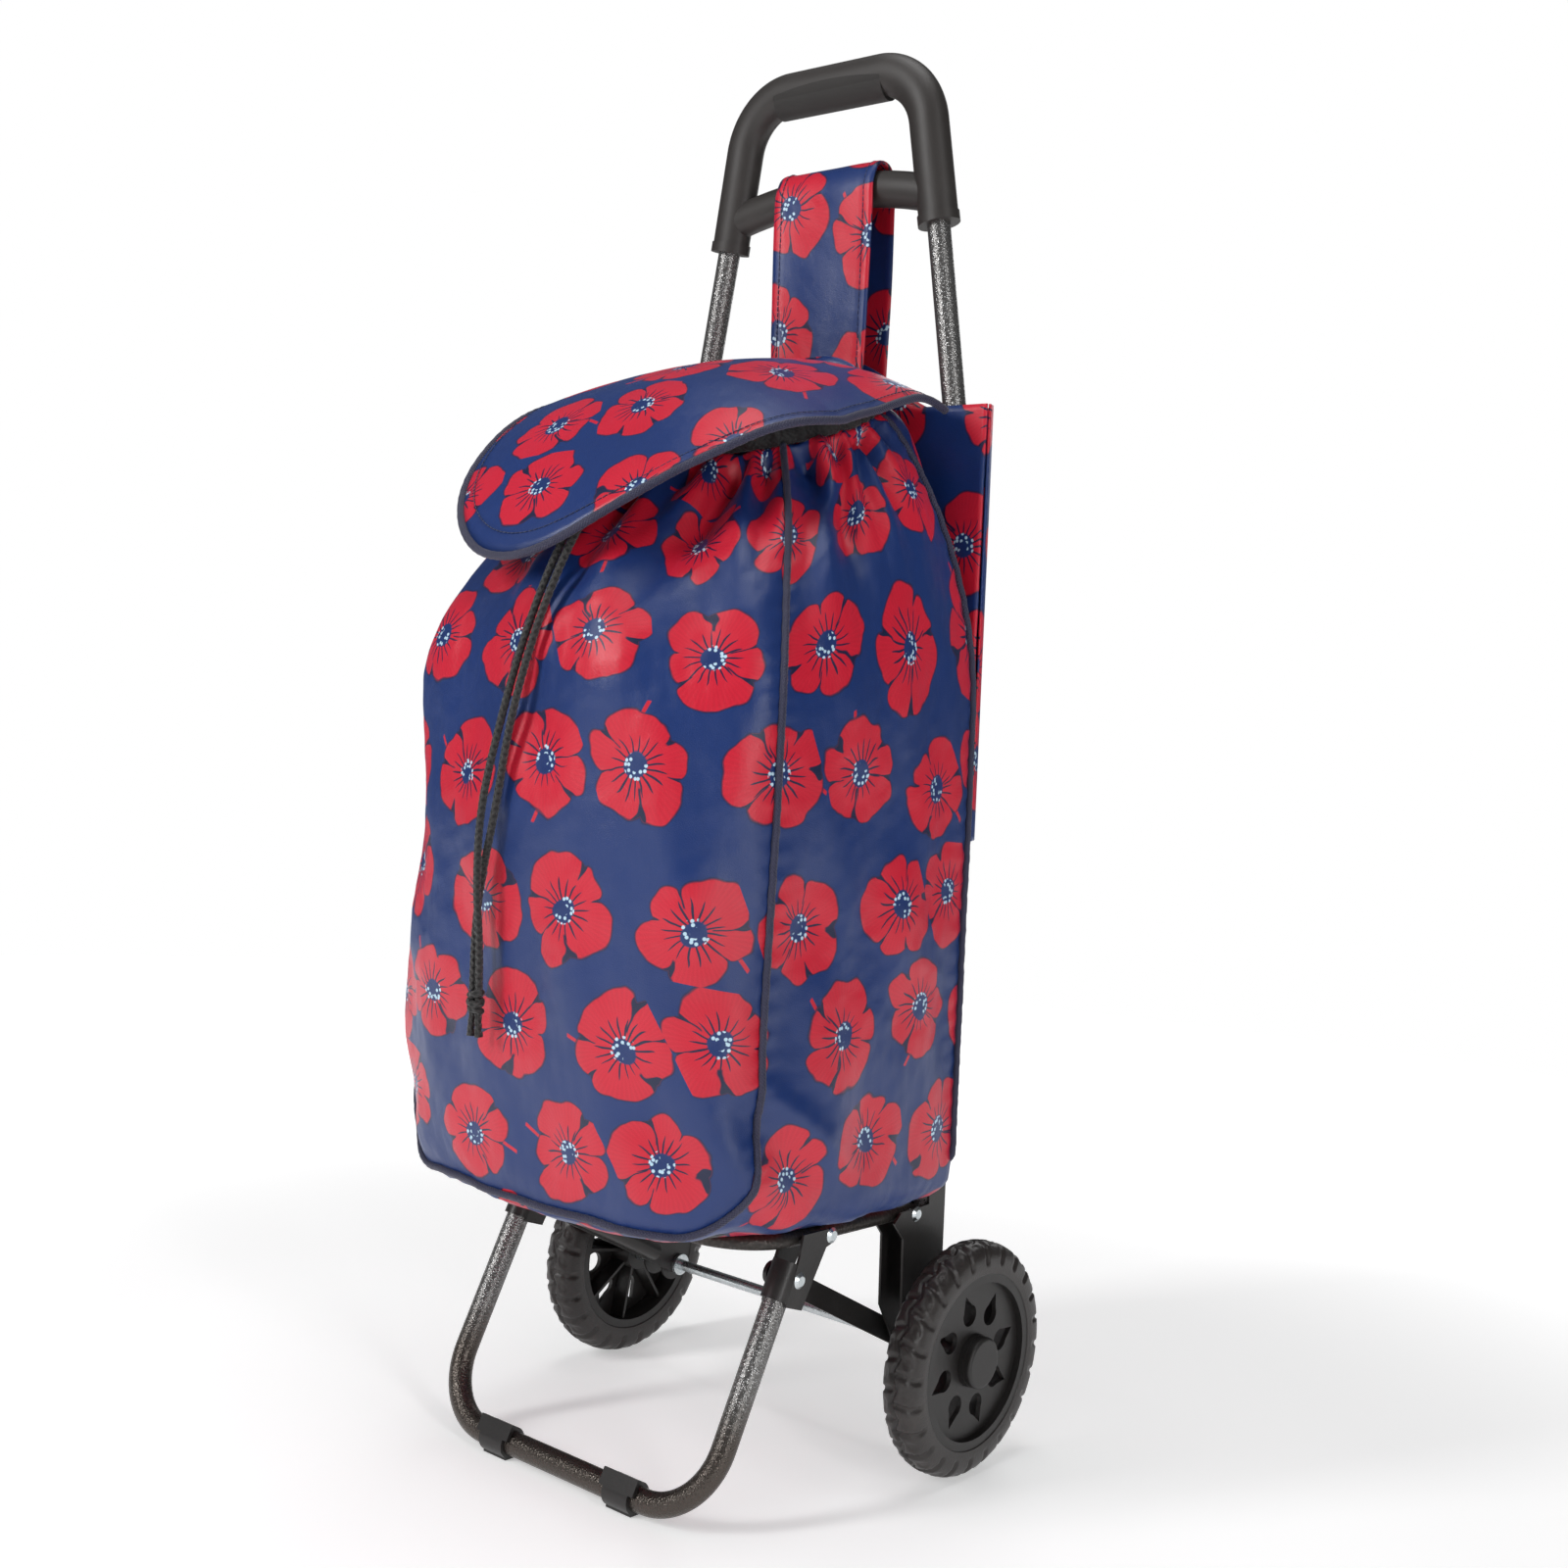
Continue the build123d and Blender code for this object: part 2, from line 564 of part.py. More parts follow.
def shoulder_block(inset):
    """The gathered top, from the straight walls in to the mouth, as a solid."""
    with BuildSketch(Plane.XY.offset(BOX_TOP_Z + 0.1)) as low:
        with BuildLine():
            bag_outline(inset)
        make_face()
    with BuildSketch(Plane.XY.offset(SHOULDER_Z)) as middle:
        with BuildLine():
            bag_outline(inset + 2, front_bow=BAG_FRONT_Y - 28)
        make_face()
    rx, ry = MOUTH_RX - inset, MOUTH_RY - inset
    near_x, near_y = rx * 0.76, ry * 0.65
    with BuildSketch(MOUTH_PLANE) as top:
        with BuildLine():
            ThreePointArc((-near_x, -near_y), (0, -ry), (near_x, -near_y))
            ThreePointArc((near_x, -near_y), (rx, 0), (near_x, near_y))
            ThreePointArc((near_x, near_y), (0, ry), (-near_x, near_y))
            ThreePointArc((-near_x, near_y), (-rx, 0), (-near_x, -near_y))
        make_face()
    return loft(sections=[low.sketch, middle.sketch, top.sketch], ruled=True, mode=Mode.PRIVATE)


BACK_FACE_Y = BAG_BACK_Y - FABRIC / 2 - GAP
with BuildPart() as shoulder:
    add(shoulder_block(0))
    add(shoulder_block(FABRIC), mode=Mode.SUBTRACT)
    with BuildSketch(Plane.XZ.offset(-BACK_FACE_Y)):
        Rectangle(4 * RAIL_X, 2000)
    extrude(amount=-100, mode=Mode.SUBTRACT)
    clear_of_piping(BACK_LEFT, BACK_RIGHT)
keep(shoulder, "bag_shoulder")

CORD_SEAT = 3.4
with BuildPart() as channel:
    with BuildSketch(MOUTH_PLANE.offset(0.2)):
        Ellipse(MOUTH_RX + CHANNEL / 2, MOUTH_RY + CHANNEL / 2)
        Ellipse(MOUTH_RX - CHANNEL / 2, MOUTH_RY - CHANNEL / 2, mode=Mode.SUBTRACT)
    extrude(amount=CHANNEL_TALL)
    with BuildSketch(MOUTH_PLANE.offset(0.2 + CHANNEL_TALL / 2 - CORD_SEAT / 2)):
        Ellipse(MOUTH_RX + CORD_SEAT / 2, MOUTH_RY + CORD_SEAT / 2)
        Ellipse(MOUTH_RX - CORD_SEAT / 2, MOUTH_RY - CORD_SEAT / 2, mode=Mode.SUBTRACT)
    extrude(amount=CORD_SEAT, mode=Mode.SUBTRACT)
keep(channel, "mouth_channel")

with BuildPart() as hidden_cord:
    with BuildSketch(MOUTH_PLANE.offset(0.3 + CHANNEL_TALL / 2 - CORD_SEAT / 2)):
        Ellipse(MOUTH_RX + CORD_SEAT / 2 - 0.1, MOUTH_RY + CORD_SEAT / 2 - 0.1)
        Ellipse(MOUTH_RX - CORD_SEAT / 2 + 0.1, MOUTH_RY - CORD_SEAT / 2 + 0.1, mode=Mode.SUBTRACT)
    extrude(amount=CORD_SEAT - 0.2)
keep(hidden_cord, "channel_cord")

# ---- flap --------------------------------------------------------------------------------------
FLAP_HALF = 126.0
FLAP_BACK_Y = -14.0
FLAP_PROFILE = ((FLAP_BACK_Y, 779), (-50, 784), (-124, 763), (-180, 722), (-235, 655), (-264, 604))
FLAP_DROOP = (54, 51, 46, 38, 31, 28)      # how far the sides hang below the middle, per point


def flap_sheet(thick):
    """The arched flap as a curved sheet, wider than the flap itself."""
    sections = []
    for x in (-FLAP_HALF - 12, 0, FLAP_HALF + 12):
        drop = abs(x) / (FLAP_HALF + 12)
        line = [(y, z - drop * sag) for (y, z), sag in zip(FLAP_PROFILE, FLAP_DROOP)]
        with BuildSketch(SIDE.offset(x)) as section:
            with BuildLine():
                upper = Spline(*line)
                lower = Spline(*[(y, z - thick) for y, z in line])
                Line(upper @ 0, lower @ 0)
                Line(upper @ 1, lower @ 1)
            make_face()
        sections.append(section.sketch)
    return loft(sections=sections, mode=Mode.PRIVATE)


def flap_plan(inset):
    """The D-shaped cut of the flap seen from above, its tip a little left of the middle."""
    half = FLAP_HALF - inset
    back_y = FLAP_BACK_Y - 1 - inset
    with BuildSketch(Plane.XY.offset(500)) as plan:
        with BuildLine():
            Line((-half, back_y), (half, back_y))
            Line((half, back_y), (half, -130))
            Spline((half, -130), (101 - inset, -190), (44, -242 + inset), (-25, -262 + inset),
                   (-88 + inset / 2, -246 + inset), (-122 + inset, -206), (-half, -140),
                   tangents=((0, -1), (0, 1)))
            Line((-half, -140), (-half, back_y))
        make_face()
    return extrude(plan.sketch, amount=350, mode=Mode.PRIVATE)


BORDER = 3.2
with BuildPart() as flap:
    add(flap_sheet(FABRIC))
    add(flap_plan(BORDER), mode=Mode.INTERSECT)
keep(flap, "flap_cover")

with BuildPart() as flap_piping:
    add(flap_sheet(FABRIC + 1.5))
    add(flap_plan(0), mode=Mode.INTERSECT)
    add(flap_plan(BORDER), mode=Mode.SUBTRACT)
keep(flap_piping, "flap_piping")

# ---- strap, sleeve and pocket behind -----------------------------------------------------------
STRAP = 1.6
STRAP_FRONT_Y = -4.6
STRAP_BACK_Y = 22.6
with BuildPart() as strap:
    with BuildSketch(SIDE.offset(STRAP_MID_X - STRAP_WIDE / 2)):
        with BuildLine() as loop:
            Line((STRAP_FRONT_Y, 740), (STRAP_FRONT_Y, CROSSBAR_Z - 2))
            ThreePointArc((STRAP_FRONT_Y, CROSSBAR_Z - 2), (SOCKET[1], CROSSBAR_Z + 14),
                          (STRAP_BACK_Y - 0.8, CROSSBAR_Z - 2))
            Line((STRAP_BACK_Y - 0.8, CROSSBAR_Z - 2), (STRAP_BACK_Y, 722))
        trace(loop.line, line_width=STRAP)
    extrude(amount=STRAP_WIDE)
keep(strap, "strap_loop")

SLEEVE_Y = 20.0
SLEEVE_WALL = 1.8
with BuildPart() as sleeve:
    with BuildSketch(Plane.XY.offset(SLEEVE_FOOT_Z)):
        with BuildLine() as wrap:
            FilletPolyline((BAG_BACK_HALF, BAG_BACK_Y + 4.2), (RAIL_X + 15, SLEEVE_Y - 2),
                           (0, SLEEVE_Y), (-RAIL_X - 15, SLEEVE_Y - 2),
                           (-BAG_BACK_HALF, BAG_BACK_Y + 4.2), radius=12)
        trace(wrap.line, line_width=SLEEVE_WALL)
    extrude(amount=BACK_CROWN_Z - SLEEVE_FOOT_Z)
    with BuildSketch(Plane.XZ.offset(-60)):
        make_face(arched(BAG_BACK_HALF + 4, SLEEVE_FOOT_Z - 5).edges())
    extrude(amount=120, mode=Mode.INTERSECT)
keep(sleeve, "frame_sleeve")

POCKET_WALL = 1.6
pocket_mid_z = sum(POCKET_Z) / 2
pocket_tall = POCKET_Z[1] - POCKET_Z[0]
with BuildPart() as pocket:
    with BuildSketch(Plane.XZ.offset(-POCKET_Y[1])):
        with Locations((0, pocket_mid_z)):
            RectangleRounded(2 * POCKET_HALF, pocket_tall, 15)
    extrude(amount=POCKET_Y[1] - POCKET_Y[0])
    with BuildSketch(Plane.XZ.offset(-POCKET_Y[1] + POCKET_WALL)):
        with Locations((0, pocket_mid_z)):
            RectangleRounded(2 * (POCKET_HALF - POCKET_WALL), pocket_tall - 2 * POCKET_WALL, 13)
    extrude(amount=POCKET_Y[1] - POCKET_Y[0], mode=Mode.SUBTRACT)
keep(pocket, "back_pocket")

ZIP_WIDE = 24.0
with BuildPart() as zip_tape:
    with BuildSketch(Plane.XZ.offset(-POCKET_Y[1] - 1)):
        with Locations((0, ZIP_Z)):
            Rectangle(2 * ZIP_HALF, ZIP_WIDE)
    extrude(amount=1)
    with BuildSketch(Plane.XZ.offset(-POCKET_Y[1] - 2.4)):
        with Locations((0, ZIP_Z)):
            Rectangle(2 * ZIP_HALF - 8, 5)
    extrude(amount=1.4)
keep(zip_tape, "pocket_zip")

SLIDER_X = -ZIP_HALF + 14
SLIDER_Y = POCKET_Y[1] + 2.4 + GAP
with BuildPart() as slider:
    with BuildSketch(Plane.XZ.offset(-SLIDER_Y - 2.4)):
        with Locations((SLIDER_X, ZIP_Z)):
            RectangleRounded(13, 9, 3)
    extrude(amount=2.4)
    with BuildSketch(Plane.XZ.offset(-SLIDER_Y - 3.8)):
        with Locations((SLIDER_X, ZIP_Z - 11)):
            RectangleRounded(7, 26, 3)
    extrude(amount=1.4)
keep(slider, "zip_slider")

# ---- drawstring --------------------------------------------------------------------------------
KNOT = (-23.0, -281.0, 332.0)
KNOT_TALL = 16.0
KNOT_TOP = KNOT[2] + KNOT_TALL / 2
STRAND_RIGHT = ((14, -168, 684), (15, -194, 673), (16, -228, 648), (15, -254, 607), (7, -270, 557),
                (-4, -276, 506), (-12, -278, 455), (-24, -279, 405), (KNOT[0] - 2.8, KNOT[1], 368),
                (KNOT[0] - 2.8, KNOT[1], KNOT_TOP))
STRAND_LEFT = ((6, -168, 684), (6, -194, 672), (7, -228, 647), (6, -254, 606), (-1, -270, 556),
               (-12, -277, 505), (-22, -282, 454), (-18, -287, 405), (KNOT[0] + 2.8, KNOT[1], 368),
               (KNOT[0] + 2.8, KNOT[1], KNOT_TOP))


def corner_radii(points):
    """The largest tangent arc that the two runs at each corner of a route allow."""
    radii = []
    for before, corner, after in zip(points, points[1:], points[2:]):
        first, second = Vector(*corner) - Vector(*before), Vector(*after) - Vector(*corner)
        half_turn = radians(first.get_angle(second)) / 2
        radii.append(0.45 * min(first.length, second.length) * cos(half_turn) / sin(half_turn))
    return radii


for label, route in (("cord_strand_right", STRAND_RIGHT), ("cord_strand_left", STRAND_LEFT)):
    with BuildPart() as strand:
        with BuildLine() as path:
            FilletPolyline(*route, radius=corner_radii(route))
        with BuildSketch(tube_start(path.line)):
            Circle(CORD_R)
        sweep()
    cord_long = sum(edge.length for edge in path.line.edges())
    section_volume = cord_long * pi * CORD_R ** 2
    print(label, "length", round(cord_long, 1), "least radius",
          round(min(corner_radii(route)), 1), "volume ratio",
          round(strand.part.volume / section_volume, 4))
    keep(strand, label)

with BuildPart() as knot:
    with BuildSketch(Plane.XY.offset(KNOT_TOP)):
        with Locations(KNOT[:2]):
            Circle(6)
    extrude(amount=-KNOT_TALL)
    with BuildSketch(Plane.XY.offset(KNOT_TOP - KNOT_TALL)):
        with Locations((KNOT[0] - 2.8, KNOT[1]), (KNOT[0] + 2.8, KNOT[1])):
            Circle(CORD_R)
    extrude(amount=-13)
keep(knot, "cord_knot")

# ---- stand the trolley on its wheels and clips and write every piece ---------------------------
ON_CORD = ("cord_strand_right", "cord_strand_left", "cord_knot")
lean = Location(Plane(origin=(0, 0, AXLE_Z), x_dir=(1, 0, 0),
                      z_dir=(0, -sin(radians(LEAN)), cos(radians(LEAN)))))
centre_axle = Location((0, 0, -AXLE_Z))
leaned = {piece.label: piece.moved(centre_axle).moved(lean) for piece in pieces}
boxes = [shape.bounding_box() for label, shape in leaned.items() if label not in ON_CORD]
front = min(box.min.Y for box in boxes)
rear = max(box.max.Y for box in boxes)
floor_z = min(box.min.Z for box in boxes)
to_origin = Location((0, -(front + rear) / 2, -floor_z))
print("lean", round(LEAN, 4), "front", round(front, 3), "rear", round(rear, 3),
      "floor", round(floor_z, 4))
for label, shape in leaned.items():
    stood = shape.moved(to_origin)
    stood.label = label
    export_step(stood, f"parts/{label}.step")
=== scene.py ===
"""Visual model of a folding shopping trolley with a printed drawstring bag, laid out as an add-on.

Shapes are worked out in drawn millimetres, where the uprights are vertical and the axle is at
(0, 0, 80). stand() leans them forward and moves them to the frame's origin, in metres.
"""
from math import cos, pi, radians, sin

import bmesh
import bpy
import numpy as np
from bpy.props import FloatProperty, FloatVectorProperty, IntProperty, PointerProperty
from mathutils import Euler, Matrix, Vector


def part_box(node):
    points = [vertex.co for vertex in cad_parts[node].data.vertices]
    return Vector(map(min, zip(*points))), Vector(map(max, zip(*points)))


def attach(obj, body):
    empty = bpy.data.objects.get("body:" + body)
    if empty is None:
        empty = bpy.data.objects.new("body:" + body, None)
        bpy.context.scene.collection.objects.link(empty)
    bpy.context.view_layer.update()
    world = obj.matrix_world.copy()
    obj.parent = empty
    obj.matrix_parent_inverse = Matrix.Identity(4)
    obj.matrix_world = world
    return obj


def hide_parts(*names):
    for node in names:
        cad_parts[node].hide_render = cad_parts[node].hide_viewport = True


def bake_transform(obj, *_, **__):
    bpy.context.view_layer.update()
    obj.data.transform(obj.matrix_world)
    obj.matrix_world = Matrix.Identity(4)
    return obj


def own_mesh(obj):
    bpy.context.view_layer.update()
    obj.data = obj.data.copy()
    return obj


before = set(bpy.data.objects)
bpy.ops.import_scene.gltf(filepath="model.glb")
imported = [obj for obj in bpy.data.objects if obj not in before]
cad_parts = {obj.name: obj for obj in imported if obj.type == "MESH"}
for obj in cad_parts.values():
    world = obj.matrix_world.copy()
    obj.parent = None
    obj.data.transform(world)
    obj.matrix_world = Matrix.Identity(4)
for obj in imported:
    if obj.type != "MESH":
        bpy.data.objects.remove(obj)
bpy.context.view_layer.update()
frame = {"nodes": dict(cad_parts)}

bl_info = {
    "name": "Poppy Shopping Trolley",
    "version": (1, 0, 0),
    "blender": (4, 5, 0),
    "location": "3D View > Sidebar > Trolley",
    "description": "Dresses a folding shopping trolley with cloth, tread, cord and finishes",
    "category": "Object",
}

LEAN = radians(3.42964)
AXLE_Z = 80.0
SHIFT_Y = 106.6715
MM = 0.001
CLOTH_UV = "cloth"
BAG_FLOOR_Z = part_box("bottom_panel")[0][2] / MM


def stand(points):
    """Drawn millimetres to metres in the frame."""
    p = np.asarray(points, float)
    y, z = p[..., 1], p[..., 2] - AXLE_Z
    out = np.empty_like(p)
    out[..., 0] = p[..., 0]
    out[..., 1] = cos(LEAN) * y - sin(LEAN) * z + SHIFT_Y
    out[..., 2] = sin(LEAN) * y + cos(LEAN) * z + AXLE_Z
    return out * MM


# ---- user settings -----------------------------------------------------------------------------
class TrolleyCloth(bpy.types.PropertyGroup):
    """Print and colours of the bag cloth."""
    pitch: FloatProperty(name="Poppy spacing", description="Distance between flowers", default=0.080,
                         unit="LENGTH")
    poppy: FloatProperty(name="Poppy radius", description="Radius of a flower", default=0.0345,
                         unit="LENGTH")
    navy: FloatVectorProperty(name="Navy", description="Ground colour", subtype="COLOR",
                              default=(0.010, 0.039, 0.185))
    navy_deep: FloatVectorProperty(name="Deep navy", description="Ink of centres and strokes",
                                   subtype="COLOR", default=(0.006, 0.012, 0.052))
    red: FloatVectorProperty(name="Poppy red", description="Petal colour", subtype="COLOR",
                             default=(0.740, 0.014, 0.042))
    dots: FloatVectorProperty(name="Stamen blue", description="Dots round each flower's centre",
                              subtype="COLOR", default=(0.55, 0.76, 0.90))
    lining: FloatVectorProperty(name="Reverse side", description="Back of the printed cloth",
                                subtype="COLOR", default=(0.060, 0.110, 0.170))


class TrolleyBag(bpy.types.PropertyGroup):
    """Shape of the bag."""
    front_bow: FloatProperty(name="Front bow", description="How far the filled front stands out, mm",
                             default=60.0)
    side_bow: FloatProperty(name="Side bow", description="How far the sides stand out, mm", default=9.0)
    gather_depth: FloatProperty(name="Gather depth", default=6.0,
                                description="Depth of the gathers at the mouth, mm")
    gathers: IntProperty(name="Gathers", description="Number of gathers round the mouth", default=26)
    wrinkle: FloatProperty(name="Wrinkle", description="Depth of the soft wrinkles, mm", default=4.4)


class TrolleyWheels(bpy.types.PropertyGroup):
    """Tread of the tyres."""
    lugs: IntProperty(name="Lugs", description="Tread lugs round a tyre", default=24)
    groove: FloatProperty(name="Groove", description="Depth of the tread grooves, mm", default=1.7)


class TrolleyTrim(bpy.types.PropertyGroup):
    """Cords, piping and stitches."""
    stitch: FloatProperty(name="Stitch length", description="Length of a stitch", default=0.0032,
                          unit="LENGTH")
    thread: FloatProperty(name="Thread", description="Thickness of the thread", default=0.0007,
                          unit="LENGTH")
    braid: FloatProperty(name="Braid", description="Depth of the cord's braid, mm", default=0.35)


# ---- materials ---------------------------------------------------------------------------------
class Wire:
    """A socket in an expression: an operator on it adds the Math node that works it out."""

    def __init__(self, paint, socket):
        self.paint, self.socket = paint, socket

    def maths(self, operation, *values):
        return self.paint.node("ShaderNodeMath", {"operation": operation},
                               dict(enumerate((self, *values))))

    def __add__(self, other):
        return self.maths("ADD", other)

    __radd__ = __add__

    def __mul__(self, other):
        return self.maths("MULTIPLY", other)

    __rmul__ = __mul__

    def __sub__(self, other):
        return self.maths("SUBTRACT", other)

    def __rsub__(self, other):
        return self.paint.node("ShaderNodeMath", {"operation": "SUBTRACT"}, {0: other, 1: self})

    def __truediv__(self, other):
        return self.maths("DIVIDE", other)

    def __pow__(self, other):
        return self.maths("POWER", other)

    def __abs__(self):
        return self.maths("ABSOLUTE")

    def sin(self):
        return self.maths("SINE")

    def fract(self):
        return self.maths("FRACT")

    def at_most(self, other):
        return self.maths("MINIMUM", other)

    def at_least(self, other):
        return self.maths("MAXIMUM", other)

    def rise(self, low, high):
        """0 below low, 1 above high, smooth between; the other way round where low is above high."""
        if not isinstance(low, Wire) and not isinstance(high, Wire) and low > high:
            return 1 - self.rise(high, low)
        return self.paint.node("ShaderNodeMapRange", {"interpolation_type": "SMOOTHSTEP"},
                               {0: self, 1: low, 2: high})


class Paint:
    """A material under construction. Keyword arguments are constants on the shader's sockets."""

    def __init__(self, name, **constants):
        self.material = bpy.data.materials.new(name)
        self.material.use_nodes = True
        self.nodes = self.material.node_tree.nodes
        self.links = self.material.node_tree.links
        self.shader = self.nodes["Principled BSDF"]
        for key, value in constants.items():
            socket = self.shader.inputs[key.replace("_", " ")]
            socket.default_value = (*value, 1) if isinstance(value, tuple) else value

    def node(self, kind, settings=None, sockets=None, out=0):
        made = self.nodes.new(kind)
        for key, value in (settings or {}).items():
            if key == "stops":
                ramp = made.color_ramp.elements
                while len(ramp) < len(value):
                    ramp.new(0.5)
                for element, (place, colour) in zip(ramp, value):
                    element.position, element.color = place, (*colour, 1)
            else:
                setattr(made, key, value)
        for key, value in (sockets or {}).items():
            if isinstance(value, Wire):
                self.links.new(value.socket, made.inputs[key])
            else:
                socket = made.inputs[key]
                longer = isinstance(value, (tuple, list)) and len(socket.default_value) > len(value)
                socket.default_value = (*value, 1) if longer else value
        return Wire(self, made.outputs[out])

    def mix(self, factor, first, second):
        return self.node("ShaderNodeMix", {"data_type": "RGBA"}, {0: factor, 6: first, 7: second}, 2)

    def feed(self, **sockets):
        for key, wire in sockets.items():
            self.links.new(wire.socket, self.shader.inputs[key.replace("_", " ")])
        return self

    def bump(self, height, distance, strength=1.0):
        made = self.node("ShaderNodeBump", {}, {"Height": height, "Distance": distance,
                                                "Strength": strength})
        return self.feed(Normal=made)

    def split(self, wire, kind="ShaderNodeSeparateXYZ"):
        """The first two parts of a vector or of a colour."""
        made = self.nodes.new(kind)
        self.links.new(wire.socket, made.inputs[0])
        return Wire(self, made.outputs[0]), Wire(self, made.outputs[1])

    def place(self):
        """Object coordinates."""
        return self.node("ShaderNodeTexCoord", {}, {}, "Object")

    def cloth(self):
        """The piece's cloth UV, in metres."""
        return self.node("ShaderNodeUVMap", {"uv_map": CLOTH_UV})

    def noise(self, where, scale, detail=2.0, out=0, **more):
        return self.node("ShaderNodeTexNoise", {}, {"Vector": where, "Scale": scale, "Detail": detail,
                                                    **more}, out)


ROW_SKEW = 0.42     # how far each row of flowers is shifted against the next
SCATTER = 0.27      # how far flowers stray from their places
PETALS = 5


def poppy_print(name, settings, offset=(0.0, 0.0), turn=0.0):
    """Satin cloth printed with poppies, laid out on the piece's cloth UV in metres."""
    paint = Paint(name, Specular_IOR_Level=0.50, Sheen_Weight=0.10, Sheen_Roughness=0.35,
                  Sheen_Tint=(0.30, 0.45, 0.95))
    uv = paint.cloth()
    laid = paint.node("ShaderNodeMapping", {}, {"Vector": uv, "Location": (*offset, 0.0),
                                               "Rotation": (0.0, 0.0, turn)})
    u, v = paint.split(laid)
    skewed = paint.node("ShaderNodeCombineXYZ", {}, {0: u + v * ROW_SKEW, 1: v})
    spot = paint.node("ShaderNodeTexVoronoi", {"voronoi_dimensions": "2D"},
                      {"Vector": skewed, "Scale": 1 / settings.pitch, "Randomness": SCATTER},
                      "Position")
    centre_u, centre_v = paint.split(spot)
    chance = Wire(paint, spot.socket.node.outputs["Color"])
    luck, luck2 = paint.split(chance, "ShaderNodeSeparateColor")
    up = v - centre_v
    across = u + v * ROW_SKEW - centre_u - up * ROW_SKEW
    size = settings.poppy
    radius = (across * across + up * up) ** 0.5
    angle = up.maths("ARCTAN2", across) + luck * (2 * pi)
    wobble = paint.noise(laid, 40.0, 1.5) - 0.5
    turned = angle + (angle * 2 + luck2 * 9).sin() * 0.28 + wobble * 0.55
    lobe = abs((turned * (PETALS / (2 * pi))).fract() * 2 - 1)
    rim = size * (1.0 - lobe ** 3 * 0.17) + wobble * 0.016 + (turned * 2 + luck2 * 5).sin() * 0.0026
    petals = (radius - rim).rise(0.0003, -0.0003)
    reach = (turned + luck2 * 21).sin() * 0.20 + 0.48
    notch = (1 - lobe) * radius * (pi / PETALS)
    open_gap = (radius / size).rise(0.62, 1.0) * 0.0030 + 0.0006
    gap = (notch - open_gap).rise(0.0003, -0.0003) * (radius - reach * size).rise(-0.001, 0.001)
    strokes = abs((angle * 9.0 + wobble * 5).sin()) ** 5
    fine = (strokes - radius * (1.75 / size) - wobble * 0.8 + 0.02).rise(-0.02, 0.06)
    eye = (radius - size * 0.235 - wobble * 0.012).rise(0.0006, -0.0006)
    stalk_way = (angle / (2 * pi) + luck2).fract() - 0.5
    stalk = (abs(stalk_way * radius * 2 * pi + (radius - size) * 0.35).rise(0.0016, 0.0010)
             * (radius - size * 1.17).rise(0.0006, -0.0006) * (luck - 0.35).rise(-0.01, 0.01))
    stamen = paint.node("ShaderNodeTexVoronoi", {"voronoi_dimensions": "2D"},
                        {"Vector": laid, "Scale": 270.0, "Randomness": 0.75}, "Distance")
    ring = abs(radius / size - 0.175).rise(0.085, 0.07) * (angle + 0.8).sin().rise(-0.72, -0.6)
    dots = stamen.rise(0.36, 0.26) * ring
    cloud = paint.noise(uv, 9.0, 3.0)
    weave = paint.noise(uv, 1400.0, 2.0)
    ground = paint.mix(cloud, tuple(settings.navy), tuple(0.72 * c for c in settings.navy))
    vein = abs((angle * 31).sin()) * 0.35 * (radius / size).rise(0.2, 0.9)
    red = paint.mix(cloud * 0.45 + vein * 0.5, tuple(settings.red), (0.42, 0.005, 0.020))
    ink = tuple(settings.navy_deep)
    colour = paint.mix(petals.at_least(stalk), ground, red)
    edge = abs(radius - rim).rise(0.0011, 0.0003) * 0.75
    colour = paint.mix(edge.at_least(gap * petals).at_least(fine * petals), colour, ink)
    colour = paint.mix(eye, colour, tuple(0.8 * c for c in settings.navy))
    colour = paint.mix(dots, colour, tuple(settings.dots))
    colour = paint.mix(weave * 0.16, colour, (0.0, 0.0, 0.0))
    paint.feed(Base_Color=colour, Roughness=cloud * 0.12 + weave * 0.08 + 0.26)
    soft = paint.noise(uv, 11.0, 3.0) * 12.0 + paint.noise(uv, 60.0, 3.0) * 1.6
    return paint.bump(weave * 0.6 + soft, 0.00055, 0.55).material


def plain_cloth(name, colour, dark, scale=900.0, rough=0.6):
    """Woven cloth of one colour with a visible weave."""
    paint = Paint(name, Sheen_Weight=0.15, Specular_IOR_Level=0.35)
    uv = paint.cloth()
    u, v = paint.split(uv)
    warp = (u * scale * 2).sin() * (v * scale * 2).sin()
    cloud = paint.noise(uv, 55.0, 3.0)
    paint.feed(Base_Color=paint.mix(warp * 0.25 + cloud * 0.6, colour, dark),
               Roughness=cloud * 0.2 + rough - 0.1)
    return paint.bump(warp, 0.00025, 0.8).material


